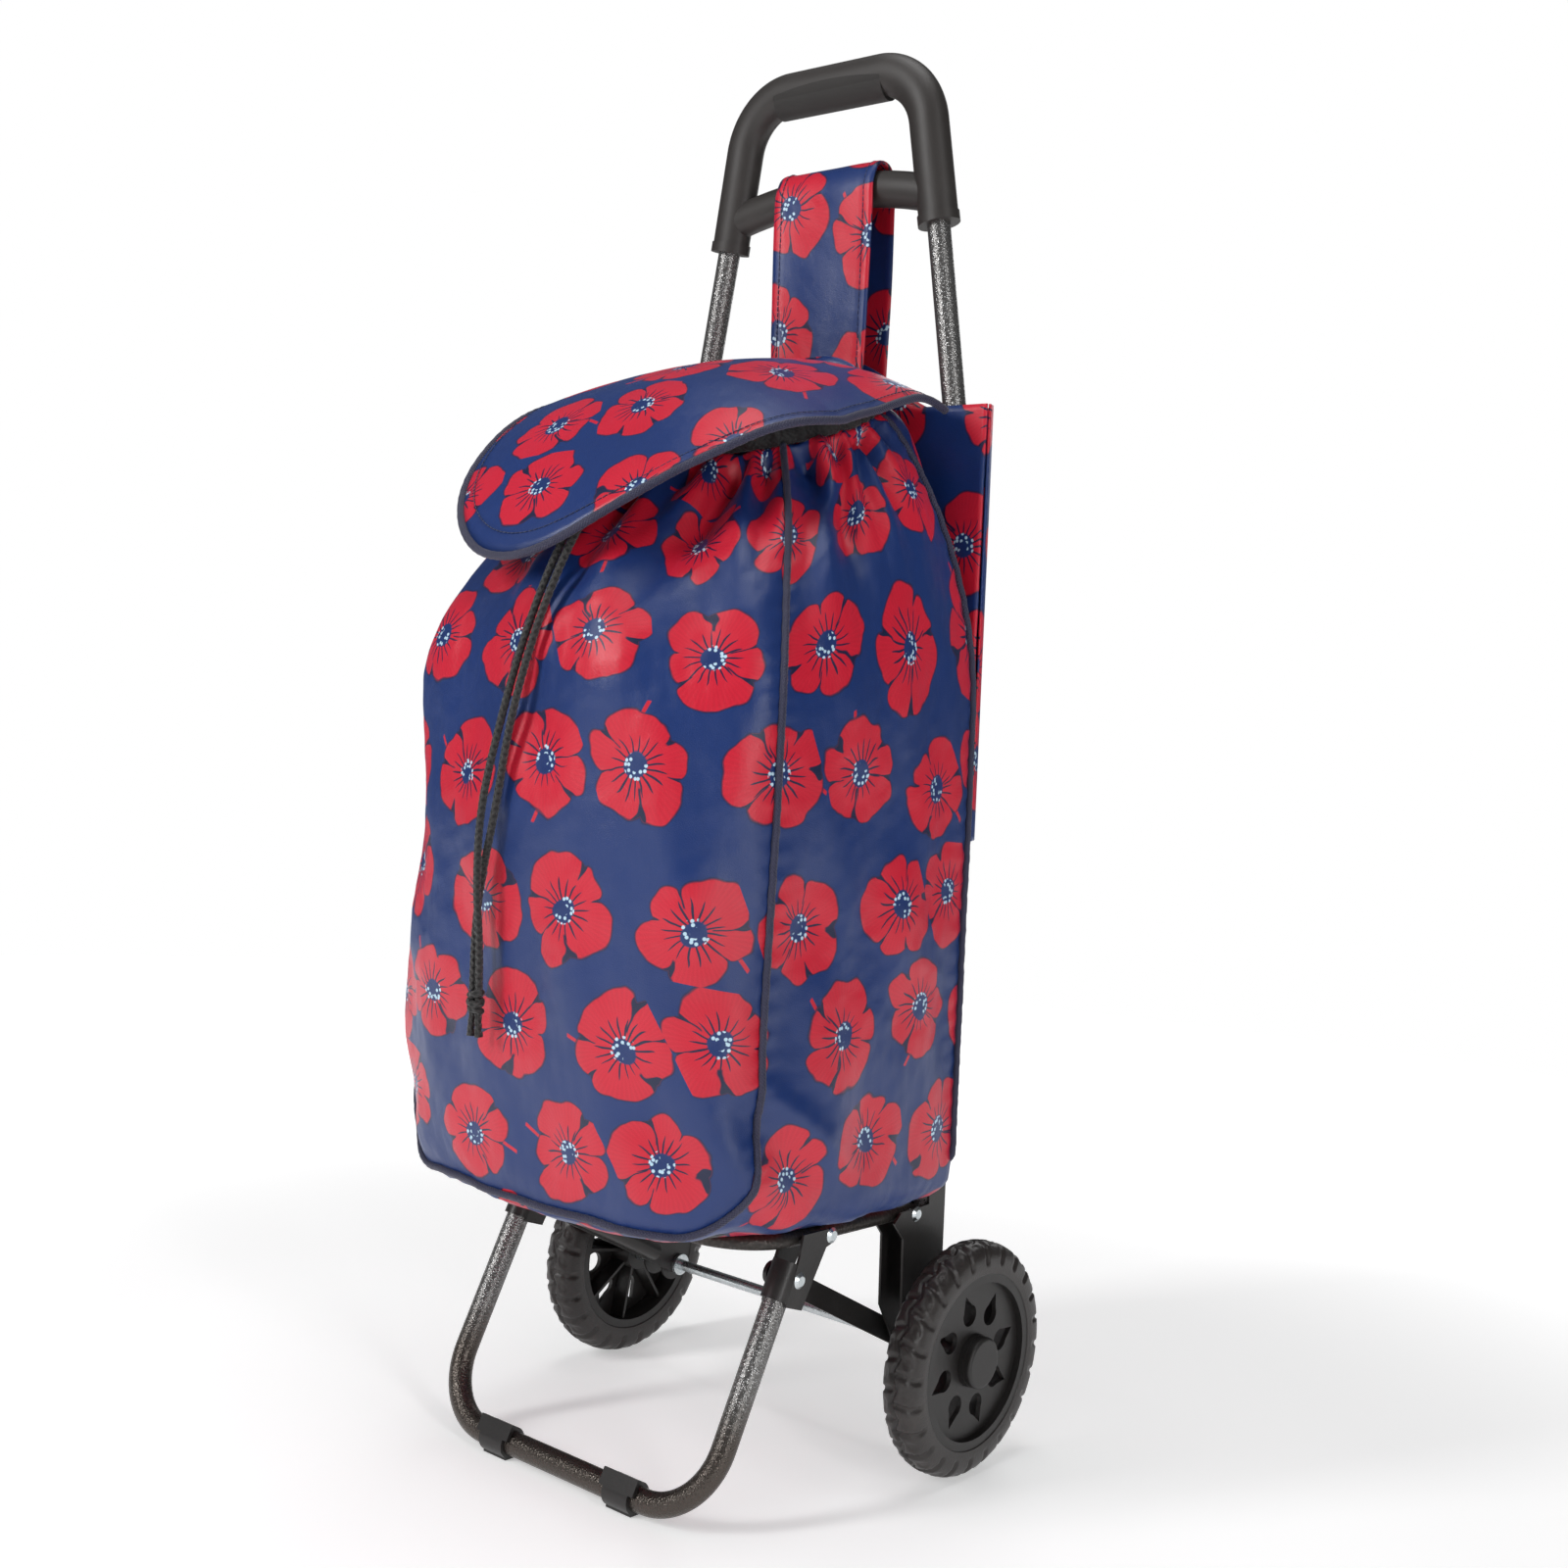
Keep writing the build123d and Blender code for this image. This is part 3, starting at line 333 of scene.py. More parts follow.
def hammertone(name, colour, dark, cell, metal, rough, foot=None):
    """Paint that has dried in small hammered dimples over steel, darker near the floor with foot."""
    paint = Paint(name, Specular_IOR_Level=0.6)
    where = paint.place()
    cells = paint.node("ShaderNodeTexVoronoi", {"feature": "SMOOTH_F1"},
                       {"Vector": where, "Scale": cell, "Smoothness": 0.5}, "Distance")
    flow = paint.noise(where, cell * 0.45, 3.0)
    fleck = (cells * 0.9 + flow * 0.5).rise(0.30, 0.85)
    shade = paint.mix(fleck, colour, dark)
    if foot:
        height = paint.node("ShaderNodeSeparateXYZ", {}, {0: where}, 2)
        shade = paint.mix(height.rise(0.100, 0.050), shade, foot)
    paint.feed(Base_Color=shade, Roughness=fleck * 0.16 + rough, Metallic=fleck * -0.15 + metal)
    return paint.bump(fleck * -1.0 + flow, 0.00028, 0.7).material


def satin_plastic(name, colour, light, rough=0.42, grain=1500.0, depth=0.00008, metal=0.0, coat=0.0):
    """Moulded plastic or paint with a fine grain and lighter rubbed places."""
    paint = Paint(name, Coat_Weight=coat, Coat_Roughness=0.25, Metallic=metal, Specular_IOR_Level=0.5)
    where = paint.place()
    grit, cloud = paint.noise(where, grain, 2.0), paint.noise(where, 26.0, 4.0)
    rub = cloud.rise(0.55, 0.85) * 0.55 + grit * 0.22
    paint.feed(Base_Color=paint.mix(rub, colour, light), Roughness=cloud * 0.14 + grit * 0.06 + rough)
    return paint.bump(grit, depth, 0.7).material


def zinc_plate(name):
    """Bright zinc plating with a faint blue spangle."""
    paint = Paint(name, Metallic=1.0, Specular_IOR_Level=0.5)
    where = paint.place()
    spangle = paint.noise(where, 260.0, 4.0)
    paint.feed(Base_Color=paint.mix(spangle, (0.72, 0.76, 0.76), (0.45, 0.50, 0.53)),
               Roughness=spangle * 0.22 + 0.16)
    return paint.bump(spangle, 0.0001, 0.5).material


def tyre_rubber(name):
    """Foamed tyre rubber: dark brown black, a little glossy, with pores and dusty marks."""
    paint = Paint(name, Specular_IOR_Level=0.5)
    where = paint.place()
    pores, marks = paint.noise(where, 700.0, 3.0), paint.noise(where, 38.0, 5.0)
    dusty = marks.rise(0.52, 0.78)
    paint.feed(Base_Color=paint.mix(dusty * 0.5 + pores * 0.2, (0.022, 0.018, 0.017),
                                    (0.060, 0.052, 0.048)),
               Roughness=marks * 0.25 + 0.27)
    return paint.bump(pores + marks * 1.5, 0.00035, 0.5).material


def braid_cloth(name):
    """Black braided cord, following the cloth UV along and round it."""
    paint = Paint(name, Sheen_Weight=0.2, Specular_IOR_Level=0.4)
    uv = paint.cloth()
    round_it, along = paint.split(uv)
    strand, slope = 2 * pi / 0.0052, 1300
    one = (round_it * strand + along * slope).sin()
    two = (round_it * strand - along * slope).sin()
    strands = one.at_least(two)
    fuzz = paint.noise(uv, 2600.0, 2.0)
    paint.feed(Base_Color=paint.mix(strands * 0.5 + fuzz * 0.5, (0.006, 0.006, 0.006),
                                    (0.040, 0.037, 0.036)), Roughness=fuzz * 0.2 + 0.52)
    return paint.bump(strands + fuzz, 0.0004, 0.8).material


def floor_paint(name):
    """A pale studio floor that glows a little, so that it stays pale in soft light."""
    paint = Paint(name, Emission_Strength=FLOOR_GLOW, Specular_IOR_Level=0.2)
    where = paint.place()
    cloud = paint.noise(where, 3.0, 2.0)
    away = paint.node("ShaderNodeVectorMath", {"operation": "LENGTH"}, {0: where}, "Value")
    paint.feed(Base_Color=paint.mix(cloud, (0.80, 0.80, 0.80), (0.84, 0.84, 0.84)),
               Roughness=cloud * 0.1 + 0.6,
               Emission_Color=paint.mix(away.rise(0.5, 1.6), (0.40, 0.40, 0.40), (1.0, 1.0, 1.0)))
    return paint.material


materials = {}


def finish_with(piece, *names):
    """Give a piece its materials, in order."""
    piece.data.materials.clear()
    for name in names:
        piece.data.materials.append(materials[name])
    return piece


def repaint(name, *nodes):
    """Put a material on CAD nodes, on their objects' own slots."""
    for node in nodes:
        piece = frame["nodes"][node]
        if not piece.material_slots:
            raise RuntimeError(f"{node} has no material slot")
        for slot in piece.material_slots:
            slot.link = "OBJECT"
            slot.material = materials[name]


# ---- mesh helpers ------------------------------------------------------------------------------
def smooth_line(points, steps=12):
    """A smooth line through points, with steps pieces between each two."""
    p = np.asarray(points, float)
    p = np.vstack([2 * p[0] - p[1], p, 2 * p[-1] - p[-2]])
    t = np.linspace(0, 1, steps, endpoint=False)[:, None]
    runs = []
    for a, b, c, d in zip(p, p[1:], p[2:], p[3:]):
        runs.append(0.5 * (2 * b + (c - a) * t + (2 * a - 5 * b + 4 * c - d) * t ** 2
                           + (3 * b - a - 3 * c + d) * t ** 3))
    return np.vstack([*runs, p[-2][None]])


def distances(points):
    """The distance along a line to each of its points."""
    return np.concatenate([[0], np.cumsum(np.linalg.norm(np.diff(points, axis=0), axis=1))])


def even_line(points, step):
    """The same line with points at even distances."""
    p = np.asarray(points, float)
    along = distances(p)
    want = np.linspace(0, along[-1], max(2, int(round(along[-1] / step)) + 1))
    return np.column_stack([np.interp(want, along, p[:, k]) for k in range(p.shape[1])])


def normals(line):
    """Unit vectors across a flat line."""
    tangent = np.gradient(line, axis=0)
    tangent /= np.linalg.norm(tangent, axis=1)[:, None]
    return np.column_stack([-tangent[:, 1], tangent[:, 0]])


def ripple(u, v, size_u, size_v, seed, waves=7):
    """Smooth seeded noise, about -1 to 1, over cloth coordinates."""
    chance = np.random.default_rng(seed)
    total = np.zeros(np.broadcast(u, v).shape)
    for _ in range(waves):
        turn, phase = chance.uniform(0, 2 * pi), chance.uniform(0, 2 * pi)
        stretch = chance.uniform(0.6, 1.6)
        total += np.sin(stretch * (np.cos(turn) * u / size_u + np.sin(turn) * v / size_v) * 2 * pi
                        + phase)
    return total / waves ** 0.5 / 1.4


def ease(x, low, high):
    """0 below low, 1 above high, smooth between."""
    t = np.clip((np.asarray(x, float) - low) / (high - low), 0, 1)
    return t * t * (3 - 2 * t)


def mesh_piece(name, points, faces, uv, marks=None):
    """An object from points in drawn millimetres, faces, one UV pair per face corner and each
    face's material number."""
    mesh = bpy.data.meshes.new(name)
    mesh.from_pydata(stand(points).tolist(), [], faces)
    layer = mesh.uv_layers.new(name=CLOTH_UV)
    layer.data.foreach_set("uv", np.asarray(uv, np.float32).ravel())
    if marks is not None:
        mesh.polygons.foreach_set("material_index", np.asarray(marks, np.int32))
    mesh.validate()
    mesh.shade_smooth()
    piece = bpy.data.objects.new(name, mesh)
    bpy.context.scene.collection.objects.link(piece)
    return piece


def skin(name, grid, uv, closed=False, capped=False, marks=None):
    """A mesh over a grid of points. A closed grid joins its last column to its first, and its UV
    has one column more than it has points."""
    rows, columns = grid.shape[:2]
    index = np.arange(rows * columns).reshape(rows, columns)
    wide = np.hstack([index, index[:, :1]]) if closed else index
    a, b, c, d = wide[:-1, :-1], wide[:-1, 1:], wide[1:, 1:], wide[1:, :-1]
    faces = np.stack([a, b, c, d], axis=-1).reshape(-1, 4).tolist()
    corner = np.stack([uv[:-1, :-1], uv[:-1, 1:], uv[1:, 1:], uv[1:, :-1]], axis=2).reshape(-1, 2)
    if capped:
        faces.append(index[0][::-1].tolist())
        faces.append(index[-1].tolist())
        corner = np.vstack([corner, uv[0, :columns][::-1], uv[-1, :columns]])
        if marks is not None:
            marks = list(marks) + [0, 0]
    return mesh_piece(name, grid.reshape(-1, 3), faces, corner * MM, marks=marks)


def outward(piece, inside=None):
    """Turn faces outwards. A closed mesh needs no point inside it."""
    work = bmesh.new()
    work.from_mesh(piece.data)
    if inside is None:
        bmesh.ops.recalc_face_normals(work, faces=work.faces)
    else:
        middle = Vector(stand(inside))
        lean_out = sum((f.calc_center_median() - middle).dot(f.normal) * f.calc_area()
                       for f in work.faces)
        if lean_out < 0:
            bmesh.ops.reverse_faces(work, faces=work.faces)
    work.to_mesh(piece.data)
    work.free()
    return piece


def merged(piece, distance):
    """Merge the points of a piece that are closer than distance, in metres."""
    work = bmesh.new()
    work.from_mesh(piece.data)
    bmesh.ops.remove_doubles(work, verts=work.verts, dist=distance)
    work.to_mesh(piece.data)
    work.free()
    return piece


def baked(piece):
    """Apply every modifier of a piece to its mesh."""
    evaluated = piece.evaluated_get(bpy.context.evaluated_depsgraph_get())
    mesh = bpy.data.meshes.new_from_object(evaluated)
    mesh.name = piece.name
    piece.modifiers.clear()
    piece.data = mesh
    return piece


def thicken(piece, millimetres, offset=-1.0):
    """Give a skin its cloth thickness."""
    solid = piece.modifiers.new("thickness", "SOLIDIFY")
    solid.thickness, solid.offset = millimetres * MM, offset
    return baked(piece)


def frames(path):
    """Tangents and two unit vectors across a path, turning as little as they can."""
    tangent = np.gradient(path, axis=0)
    tangent /= np.linalg.norm(tangent, axis=1)[:, None]
    start = np.cross(tangent[0], (0.0, 0.31, 1.0) if abs(tangent[0][2]) < 0.9 else (1.0, 0.0, 0.0))
    first = [start / np.linalg.norm(start)]
    for way in tangent[1:]:
        side = first[-1] - way * first[-1].dot(way)
        first.append(side / np.linalg.norm(side))
    first = np.array(first)
    return tangent, first, np.cross(tangent, first)


def tube(name, path, radius, sides=12, relief=None, closed_ends=True):
    """A round tube along a path. relief(turn, along) adds to its radius."""
    path = np.asarray(path, float)
    _, first, second = frames(path)
    turn = np.linspace(0, 2 * pi, sides, endpoint=False)
    along = distances(path)
    size = np.broadcast_to(np.asarray(radius, float), along.shape)[:, None] * np.ones(sides)
    if relief is not None:
        size = size + relief(turn[None, :], along[:, None])
    grid = (path[:, None, :] + size[..., None] * (np.cos(turn)[None, :, None] * first[:, None, :]
                                                 + np.sin(turn)[None, :, None] * second[:, None, :]))
    around = np.linspace(0, 2 * pi * float(np.max(radius)), sides + 1)
    uv = np.stack(np.meshgrid(around, along), axis=-1)
    return outward(skin(name, grid, uv, closed=True, capped=closed_ends))


def joined(name, pieces):
    """One object from several."""
    with bpy.context.temp_override(active_object=pieces[0], selected_editable_objects=pieces):
        bpy.ops.object.join()
    pieces[0].name = name
    pieces[0].data.name = name
    return pieces[0]


# ---- bag ---------------------------------------------------------------------------------------
def bow_share(share):
    """How far the filled front stands out at a share of its half width, 1 in the middle."""
    return (1 - share ** 3.0) ** 0.62


FRONT_X, REAR_X = 154.0, 151.0      # half the width of the bag at its front and at its rear
FULL_BOW = 60.0                     # bow that the cloth of the front panel is cut for
FRONT_SHARE = np.linspace(0, 1, 500)
FRONT_CURVE = np.column_stack([FRONT_X * FRONT_SHARE, -FULL_BOW * bow_share(FRONT_SHARE)])
FRONT_ALONG = distances(FRONT_CURVE)
HALF_FRONT, HALF_SIDE, HALF_BACK = float(FRONT_ALONG[-1]), 205.0, 152.0    # cloth between the seams
SEAM_SIDE = HALF_FRONT + HALF_SIDE
HALF_ROUND = SEAM_SIDE + HALF_BACK
BAG_START_V, SHOULDER_V, MOUTH_V = 186.0, 520.0, 728.0     # cloth height of hem, shoulder and mouth
MOUTH_AT = np.array((0.0, -88.0, 703.0))
MOUTH_TILT = radians(20)
MOUTH_RX, MOUTH_RY = 108.0, 72.0
SIDE_ROUND, REAR_ROUND = 46.0, 22.0     # how far the bag rounds in at its lower front and rear
HEM_Y = -110.0          # depth at which the height of the hem is taken
HEM_LIFT = 6.0          # how far the rounded lower edge stands above the floor of the bag
CORNER_R, HEM_V = 50.0, 5.0     # turn of the front piping, and its height above the hem


def floor_z(y):
    """Height of the bag's underside at depth y."""
    return AXLE_Z + (BAG_FLOOR_Z - AXLE_Z - sin(LEAN) * y) / cos(LEAN)


def mouth_point(turn, out=0.0, up=0.0):
    """A point round the mouth; turn is measured from the front, over the right side."""
    x = (MOUTH_RX + out) * np.sin(turn)
    y = -(MOUTH_RY + out) * np.cos(turn)
    return np.stack([x, MOUTH_AT[1] + y * cos(MOUTH_TILT) - up * sin(MOUTH_TILT),
                     MOUTH_AT[2] + y * sin(MOUTH_TILT) + up * cos(MOUTH_TILT)], axis=-1)


def mouth_turn(u):
    """Angle round the mouth where the cloth coordinate u is gathered."""
    return np.sign(u) * np.radians(np.interp(np.abs(u), (0, HALF_FRONT, SEAM_SIDE, HALF_ROUND),
                                             (0, 50, 112, 180)))


def box_point(u, z, bag):
    """A point of the straight part of the bag, before wrinkles."""
    side = np.sign(u) + (u == 0)
    a = np.abs(u)
    front_y = np.interp(z, (180, 380, 548, 600), (-218, -211, -206, -200))
    bow = bag.front_bow * np.interp(z, (180, 215, 300, 460, 520, 600),
                                    (0.58, 0.72, 0.93, 1.0, 0.965, 0.86))
    p = np.interp(np.clip(a / HALF_FRONT, 0, 1), FRONT_ALONG / FRONT_ALONG[-1], FRONT_SHARE)
    q = np.clip((a - HALF_FRONT) / HALF_SIDE, 0, 1)
    r = np.clip((HALF_ROUND - a) / HALF_BACK, 0, 1)

    def tuck(size):
        """How far a rounded lower edge of this size lies inside the wall."""
        low = np.clip((z - floor_z(HEM_Y) - HEM_LIFT) / size, 0, 1)
        return size * (1 - np.sqrt(1 - (1 - low) ** 2))

    front_x = (FRONT_X - tuck(SIDE_ROUND)
               + (tuck(SIDE_ROUND) - tuck(REAR_ROUND)) * ease(a, HALF_FRONT, SEAM_SIDE - 90))
    back_x = REAR_X - tuck(REAR_ROUND)
    back_y = -9.5 - tuck(REAR_ROUND)
    swell = (bag.side_bow * np.sin(pi * q) ** 0.8
             * np.interp(z, (200, 300, 520, 600), (0.4, 1.0, 1.0, 0.7)))
    x = np.where(a <= HALF_FRONT, front_x * p,
                 np.where(a <= SEAM_SIDE, front_x + (back_x - front_x) * q + swell, back_x * r))
    y = np.where(a <= HALF_FRONT, front_y - bow * bow_share(p),
                 np.where(a <= SEAM_SIDE, front_y + (back_y - front_y) * q, back_y - (1 - r ** 2)))
    return np.stack([side * x, y, z + 0 * x], axis=-1)


def shoulder_point(u, t, bag):
    """A point of the gathered shoulder, t from 0 at the straight walls to 1 at the mouth."""
    start = box_point(u, np.full_like(u, SHOULDER_V), bag)
    turn = mouth_turn(u)
    end = mouth_point(turn)
    a = np.abs(u)
    rear = ease(a, SEAM_SIDE + 2, SEAM_SIDE + 34)
    marks = (0, HALF_FRONT / 2, HALF_FRONT, HALF_FRONT + 100, SEAM_SIDE, HALF_ROUND)
    rise_by = np.interp(a, marks, (70, 64, 52, 84, 100, 100)) + rear * 92
    corner = np.exp(-((a - HALF_FRONT) / 50) ** 2)
    first = start + np.stack([-5 * corner * np.sign(u), 6 * corner, rise_by], axis=-1)
    out = np.interp(a, marks, (90, 66, 30, 30, 20, 6))
    second = mouth_point(turn, out=out)
    second[..., 2] += np.interp(a, marks, (-2, -14, -38, -12, -6, -6)) + rear * 12
    t = t[..., None]
    return ((1 - t) ** 3 * start + 3 * (1 - t) ** 2 * t * first + 3 * (1 - t) * t ** 2 * second
            + t ** 3 * end)


VALLEYS = (        # cloth u at the mouth, drift per 100 mm down, width, depth, how far down it runs
    (118, -38, 17, 15, 150), (196, 52, 16, 13, 150), (62, -22, 12, 8, 120), (10, -6, 11, 7, 110),
    (-46, 18, 13, 9, 130), (-104, 34, 16, 12, 150), (-150, 12, 11, 7, 90), (-205, -46, 16, 12, 150),
    (252, 30, 14, 9, 110), (-262, -30, 14, 9, 110), (300, 22, 13, 8, 90), (-310, -22, 13, 8, 90),
    (150, -8, 10, 7, 80),
)


def wrinkles(u, v, bag):
    """How far the cloth stands out from its smooth shape, in millimetres."""
    near = ease(v, SHOULDER_V + 20, MOUTH_V)
    front_half = 1 - ease(np.abs(u), SEAM_SIDE - 30, SEAM_SIDE + 20) * 0.75
    phase = 2 * pi * bag.gathers * (u + HALF_ROUND) / (2 * HALF_ROUND)
    phase = phase + 1.3 * np.sin(u / 61 + 1) + 0.8 * np.sin(u / 23)
    depth = bag.gather_depth * near ** 1.4 * (0.75 + 0.25 * np.sin(u / 37 + 2))
    out = depth * (np.sin(phase) - 0.25)
    broad = ease(v, 400, 600) * (1 - 0.5 * near)
    out = out + 4.4 * broad * ripple(u, v, 85, 380, 5) * front_half
    below = MOUTH_V - v
    for at, drift, wide, deep, reach in VALLEYS:
        line = at + drift * below / 100
        spread = wide * (1 + 0.9 * np.clip(below, 0, None) / reach)
        out = out - (1.25 * deep * np.exp(-((u - line) / spread) ** 2)
                     * (1 - ease(below, 0.35 * reach, 1.25 * reach)))
    out = out + bag.wrinkle * ripple(u, v, 130, 300, 11) * ease(v, 185, 260) * front_half
    out = out + 1.9 * ripple(u, v, 60, 120, 23) * front_half
    out = out + 0.30 * ripple(u, v, 17, 26, 31) * front_half
    seam = np.minimum(np.abs(np.abs(u) - HALF_FRONT), np.abs(np.abs(u) - SEAM_SIDE))
    pucker = np.exp(-(seam / 13) ** 2)
    out = out * (1 - 0.75 * np.exp(-(seam / 16) ** 2) * (1 - near))
    out = out * (1 - 0.85 * ease(v, MOUTH_V - 16, MOUTH_V - 2))
    out = out + pucker * 0.55 * np.sin(v / 2.35 + 2 * np.sin(v / 41))
    slant = (u - 205) * 0.62 + (v - 255) * 0.78
    crease = np.exp(-(((u - 205) * 0.78 - (v - 255) * 0.62) / 52) ** 2)
    out = out + 4.5 * crease * (np.exp(-((slant - 14) / 9) ** 2) - np.exp(-((slant + 8) / 13) ** 2)
                                + 0.6 * np.exp(-((slant + 36) / 11) ** 2))
    corner = np.exp(-((np.abs(u) - HALF_FRONT + 30) / 42) ** 2) * (1 - ease(v, 200, 330))
    out = out + 2.6 * corner * np.sin((u * np.sign(u + 0.1) + 0.9 * v) / 15)
    behind = ease(np.abs(u), SEAM_SIDE - 8, SEAM_SIDE + 12)
    return out * (1 - 0.85 * behind)


def bag_surface(columns, heights, bag):
    """Grid of bag points with their wrinkles, and its cloth coordinates."""
    u, v = np.meshgrid(columns, heights)
    hem = floor_z(HEM_Y) + HEM_LIFT
    base = box_point(u, hem + (v - heights[0]) * (SHOULDER_V - hem) / (SHOULDER_V - heights[0]), bag)
    flare = 1 - ease(v, heights[0], 330)
    base[..., 2] += flare * (floor_z(base[..., 1]) - floor_z(HEM_Y))
    t = np.clip((v - SHOULDER_V) / (MOUTH_V - SHOULDER_V), 0, 1)
    above = v > SHOULDER_V
    grid = np.where(above[..., None], shoulder_point(u, t, bag), base)
    along = np.gradient(grid, axis=0)
    across = np.empty_like(grid)
    across[:, 1:-1] = grid[:, 2:] - grid[:, :-2]
    across[:, 0] = grid[:, 1] - grid[:, -2]
    across[:, -1] = across[:, 0]
    normal = np.cross(across, along)
    normal /= np.linalg.norm(normal, axis=-1)[..., None] + 1e-9
    return grid + normal * wrinkles(u, v, bag)[..., None], np.stack([u, v], axis=-1)


def fold_with_base(piece):
    """Let a piece of the bag flatten against the frame as the base folds up."""
    anchor = stand((0.0, -5.0, 450.0))
    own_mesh(piece)
    return piece


def build_board(settings):
    """The fibre board that stiffens the floor of the bag, with rounded corners and edges."""
    corner, thick, edge, above_floor = 26.0, 3.0, 0.8, 2.4
    outline = []
    for x, y, turn in ((84, -38, 0), (-84, -38, 90), (-84, -192, 180), (84, -192, 270)):
        for step in range(10):
            angle = radians(turn + 10 * step)
            outline.append((x + corner * cos(angle), y + corner * sin(angle)))
    outline = np.array(outline)
    middle = outline.mean(axis=0)
    rings = []
    for share, up in ((0.02, 0.0), (0.6, 0.0), (0.985, 0.0), (1.0, edge), (1.0, thick - edge),
                      (0.985, thick), (0.6, thick), (0.02, thick)):
        plan = middle + (outline - middle) * share
        rings.append(np.column_stack([plan, floor_z(plan[:, 1]) + above_floor + up]))
    grid = np.array(rings)
    cloth = np.stack([grid[..., 0], grid[..., 1]], axis=-1)
    board = skin("base_board_fibre", grid, np.concatenate([cloth, cloth[:, :1]], axis=1), closed=True)
    outward(board)
    finish_with(board, "board_grey")
    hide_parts("base_board")
    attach(board, "root")
    fold_with_base(board)


class BagShapes:
    """The bag's grid of points with its cloth coordinates, which its piping follows."""
    body = None
    columns = None
    heights = None


def build_body(settings):
    """The sewn and gathered bag with its floor."""
    bag = settings.trolley_bag
    columns = np.linspace(-HALF_ROUND, HALF_ROUND, 281)
    for seam in (HALF_FRONT, SEAM_SIDE):
        for side in (-1, 1):
            columns[np.argmin(np.abs(columns - side * seam))] = side * seam
    heights = np.concatenate([np.linspace(BAG_START_V, SHOULDER_V, 84),
                              np.linspace(SHOULDER_V, MOUTH_V, 62)[1:]])
    grid, uv = bag_surface(columns, heights, bag)
    BagShapes.body, BagShapes.columns, BagShapes.heights = grid, columns, heights
    middle = np.array((0.0, -118.0, floor_z(-118.0)))
    shares = (0.02, 0.25, 0.5, 0.7, 0.85, 0.92, 0.97)
    rings = [middle + (grid[0] - middle) * share for share in shares]
    for share, ring in zip(shares, rings):
        ring[:, 2] = floor_z(ring[:, 1]) + 0.2 + HEM_LIFT * ease(share, 0.90, 1.0)
    under = [uv[0] - np.stack([0 * columns, (1 - share) * 110 + 0 * columns], axis=-1)
             for share in shares]
    whole = np.concatenate([np.array(rings), grid])
    cloth = np.concatenate([np.array(under), uv])
    body = skin("bag_body", whole[:, :-1], cloth, closed=True)
    outward(body, (0.0, -110.0, 430.0))
    thicken(body, 1.3)
    finish_with(body, "poppy_cloth")
    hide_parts("front_panel", "side_panel_right", "side_panel_left", "bottom_panel",
                "bag_shoulder")
    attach(body, "root")
    fold_with_base(body)


def column_at(u):
    """The bag's points up the cloth at coordinate u."""
    return BagShapes.body[:, int(np.argmin(np.abs(BagShapes.columns - u)))]


def rounded(points, times=3):
    """Cut the corners of a line a few times."""
    p = np.asarray(points, float)
    for _ in range(times):
        quarter = 0.75 * p[:-1] + 0.25 * p[1:]
        three = 0.25 * p[:-1] + 0.75 * p[1:]
        p = np.vstack([p[:1], np.stack([quarter, three], axis=1).reshape(-1, 3), p[-1:]])
    return p


def on_body(u, v):
    """Points of the bag's skin at cloth coordinates u, v."""
    i = np.interp(v, BagShapes.heights, np.arange(len(BagShapes.heights)))
    j = np.interp(u, BagShapes.columns, np.arange(len(BagShapes.columns)))
    i0 = np.minimum(i.astype(int), len(BagShapes.heights) - 2)
    j0 = np.minimum(j.astype(int), len(BagShapes.columns) - 2)
    di, dj = (i - i0)[:, None], (j - j0)[:, None]
    body = BagShapes.body
    return ((1 - di) * ((1 - dj) * body[i0, j0] + dj * body[i0, j0 + 1])
            + di * ((1 - dj) * body[i0 + 1, j0] + dj * body[i0 + 1, j0 + 1]))


def piping_line(seam):
    """A U of piping: down one seam, under the panel and up the other seam."""
    left, right = column_at(-seam), column_at(seam)
    if seam == HALF_FRONT:
        turn = np.linspace(0, pi / 2, 16)
        edge_u = seam - CORNER_R * (1 - np.cos(turn))
        edge_v = BAG_START_V + HEM_V + CORNER_R * (1 - np.sin(turn))
        across = np.linspace(-edge_u[-1], edge_u[-1], 60)[1:-1]
        u = np.concatenate([-edge_u, across, edge_u[::-1]])
        v = np.concatenate([edge_v, np.full(len(across), edge_v[-1]), edge_v[::-1]])
        bottom = on_body(u, v) + np.array((0, -0.6, 0.0))
        skip = int(np.searchsorted(BagShapes.heights, edge_v[0])) + 1
    else:
        bottom = np.linspace((-125.0, -9.0, floor_z(-9) + 15), (125.0, -9.0, floor_z(-9) + 15), 30)
        skip = 8
    line = np.vstack([left[::-1][:-skip], bottom, right[skip:]])
    return even_line(rounded(even_line(line, 6.0)), 2.6)


def build_piping(settings):
    """Corded seams round the front panel and round the back panel."""
    made = []
    for label, seam, out in (("front", HALF_FRONT, (0.85, -0.5)), ("back", SEAM_SIDE, (0.6, 0.8))):
        line = piping_line(seam)
        shift = np.stack([np.sign(line[:, 0]) * out[0] * 1.5 * ease(np.abs(line[:, 0]), 40, 110),
                          np.full(len(line), out[1] * 1.5), np.zeros(len(line))], axis=-1)
        piping = tube(f"bag_piping_{label}", line + shift, 2.3, 10,
                      lambda turn, along: 0.12 * np.sin(along / 1.1 + 2 * turn))
        finish_with(piping, "piping_cloth")
        made.append(piping)
    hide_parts("front_piping_right", "front_piping_left")
    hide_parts("back_piping_right", "back_piping_left")
    for piping in made:
        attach(piping, "root")
        fold_with_base(piping)


def arch_z(x):
    """Height of the top edge behind the bag: level at the sides, arched under the flap."""
    return 724.0 + 40.0 * (1 - ease(np.abs(x), 12, 102))


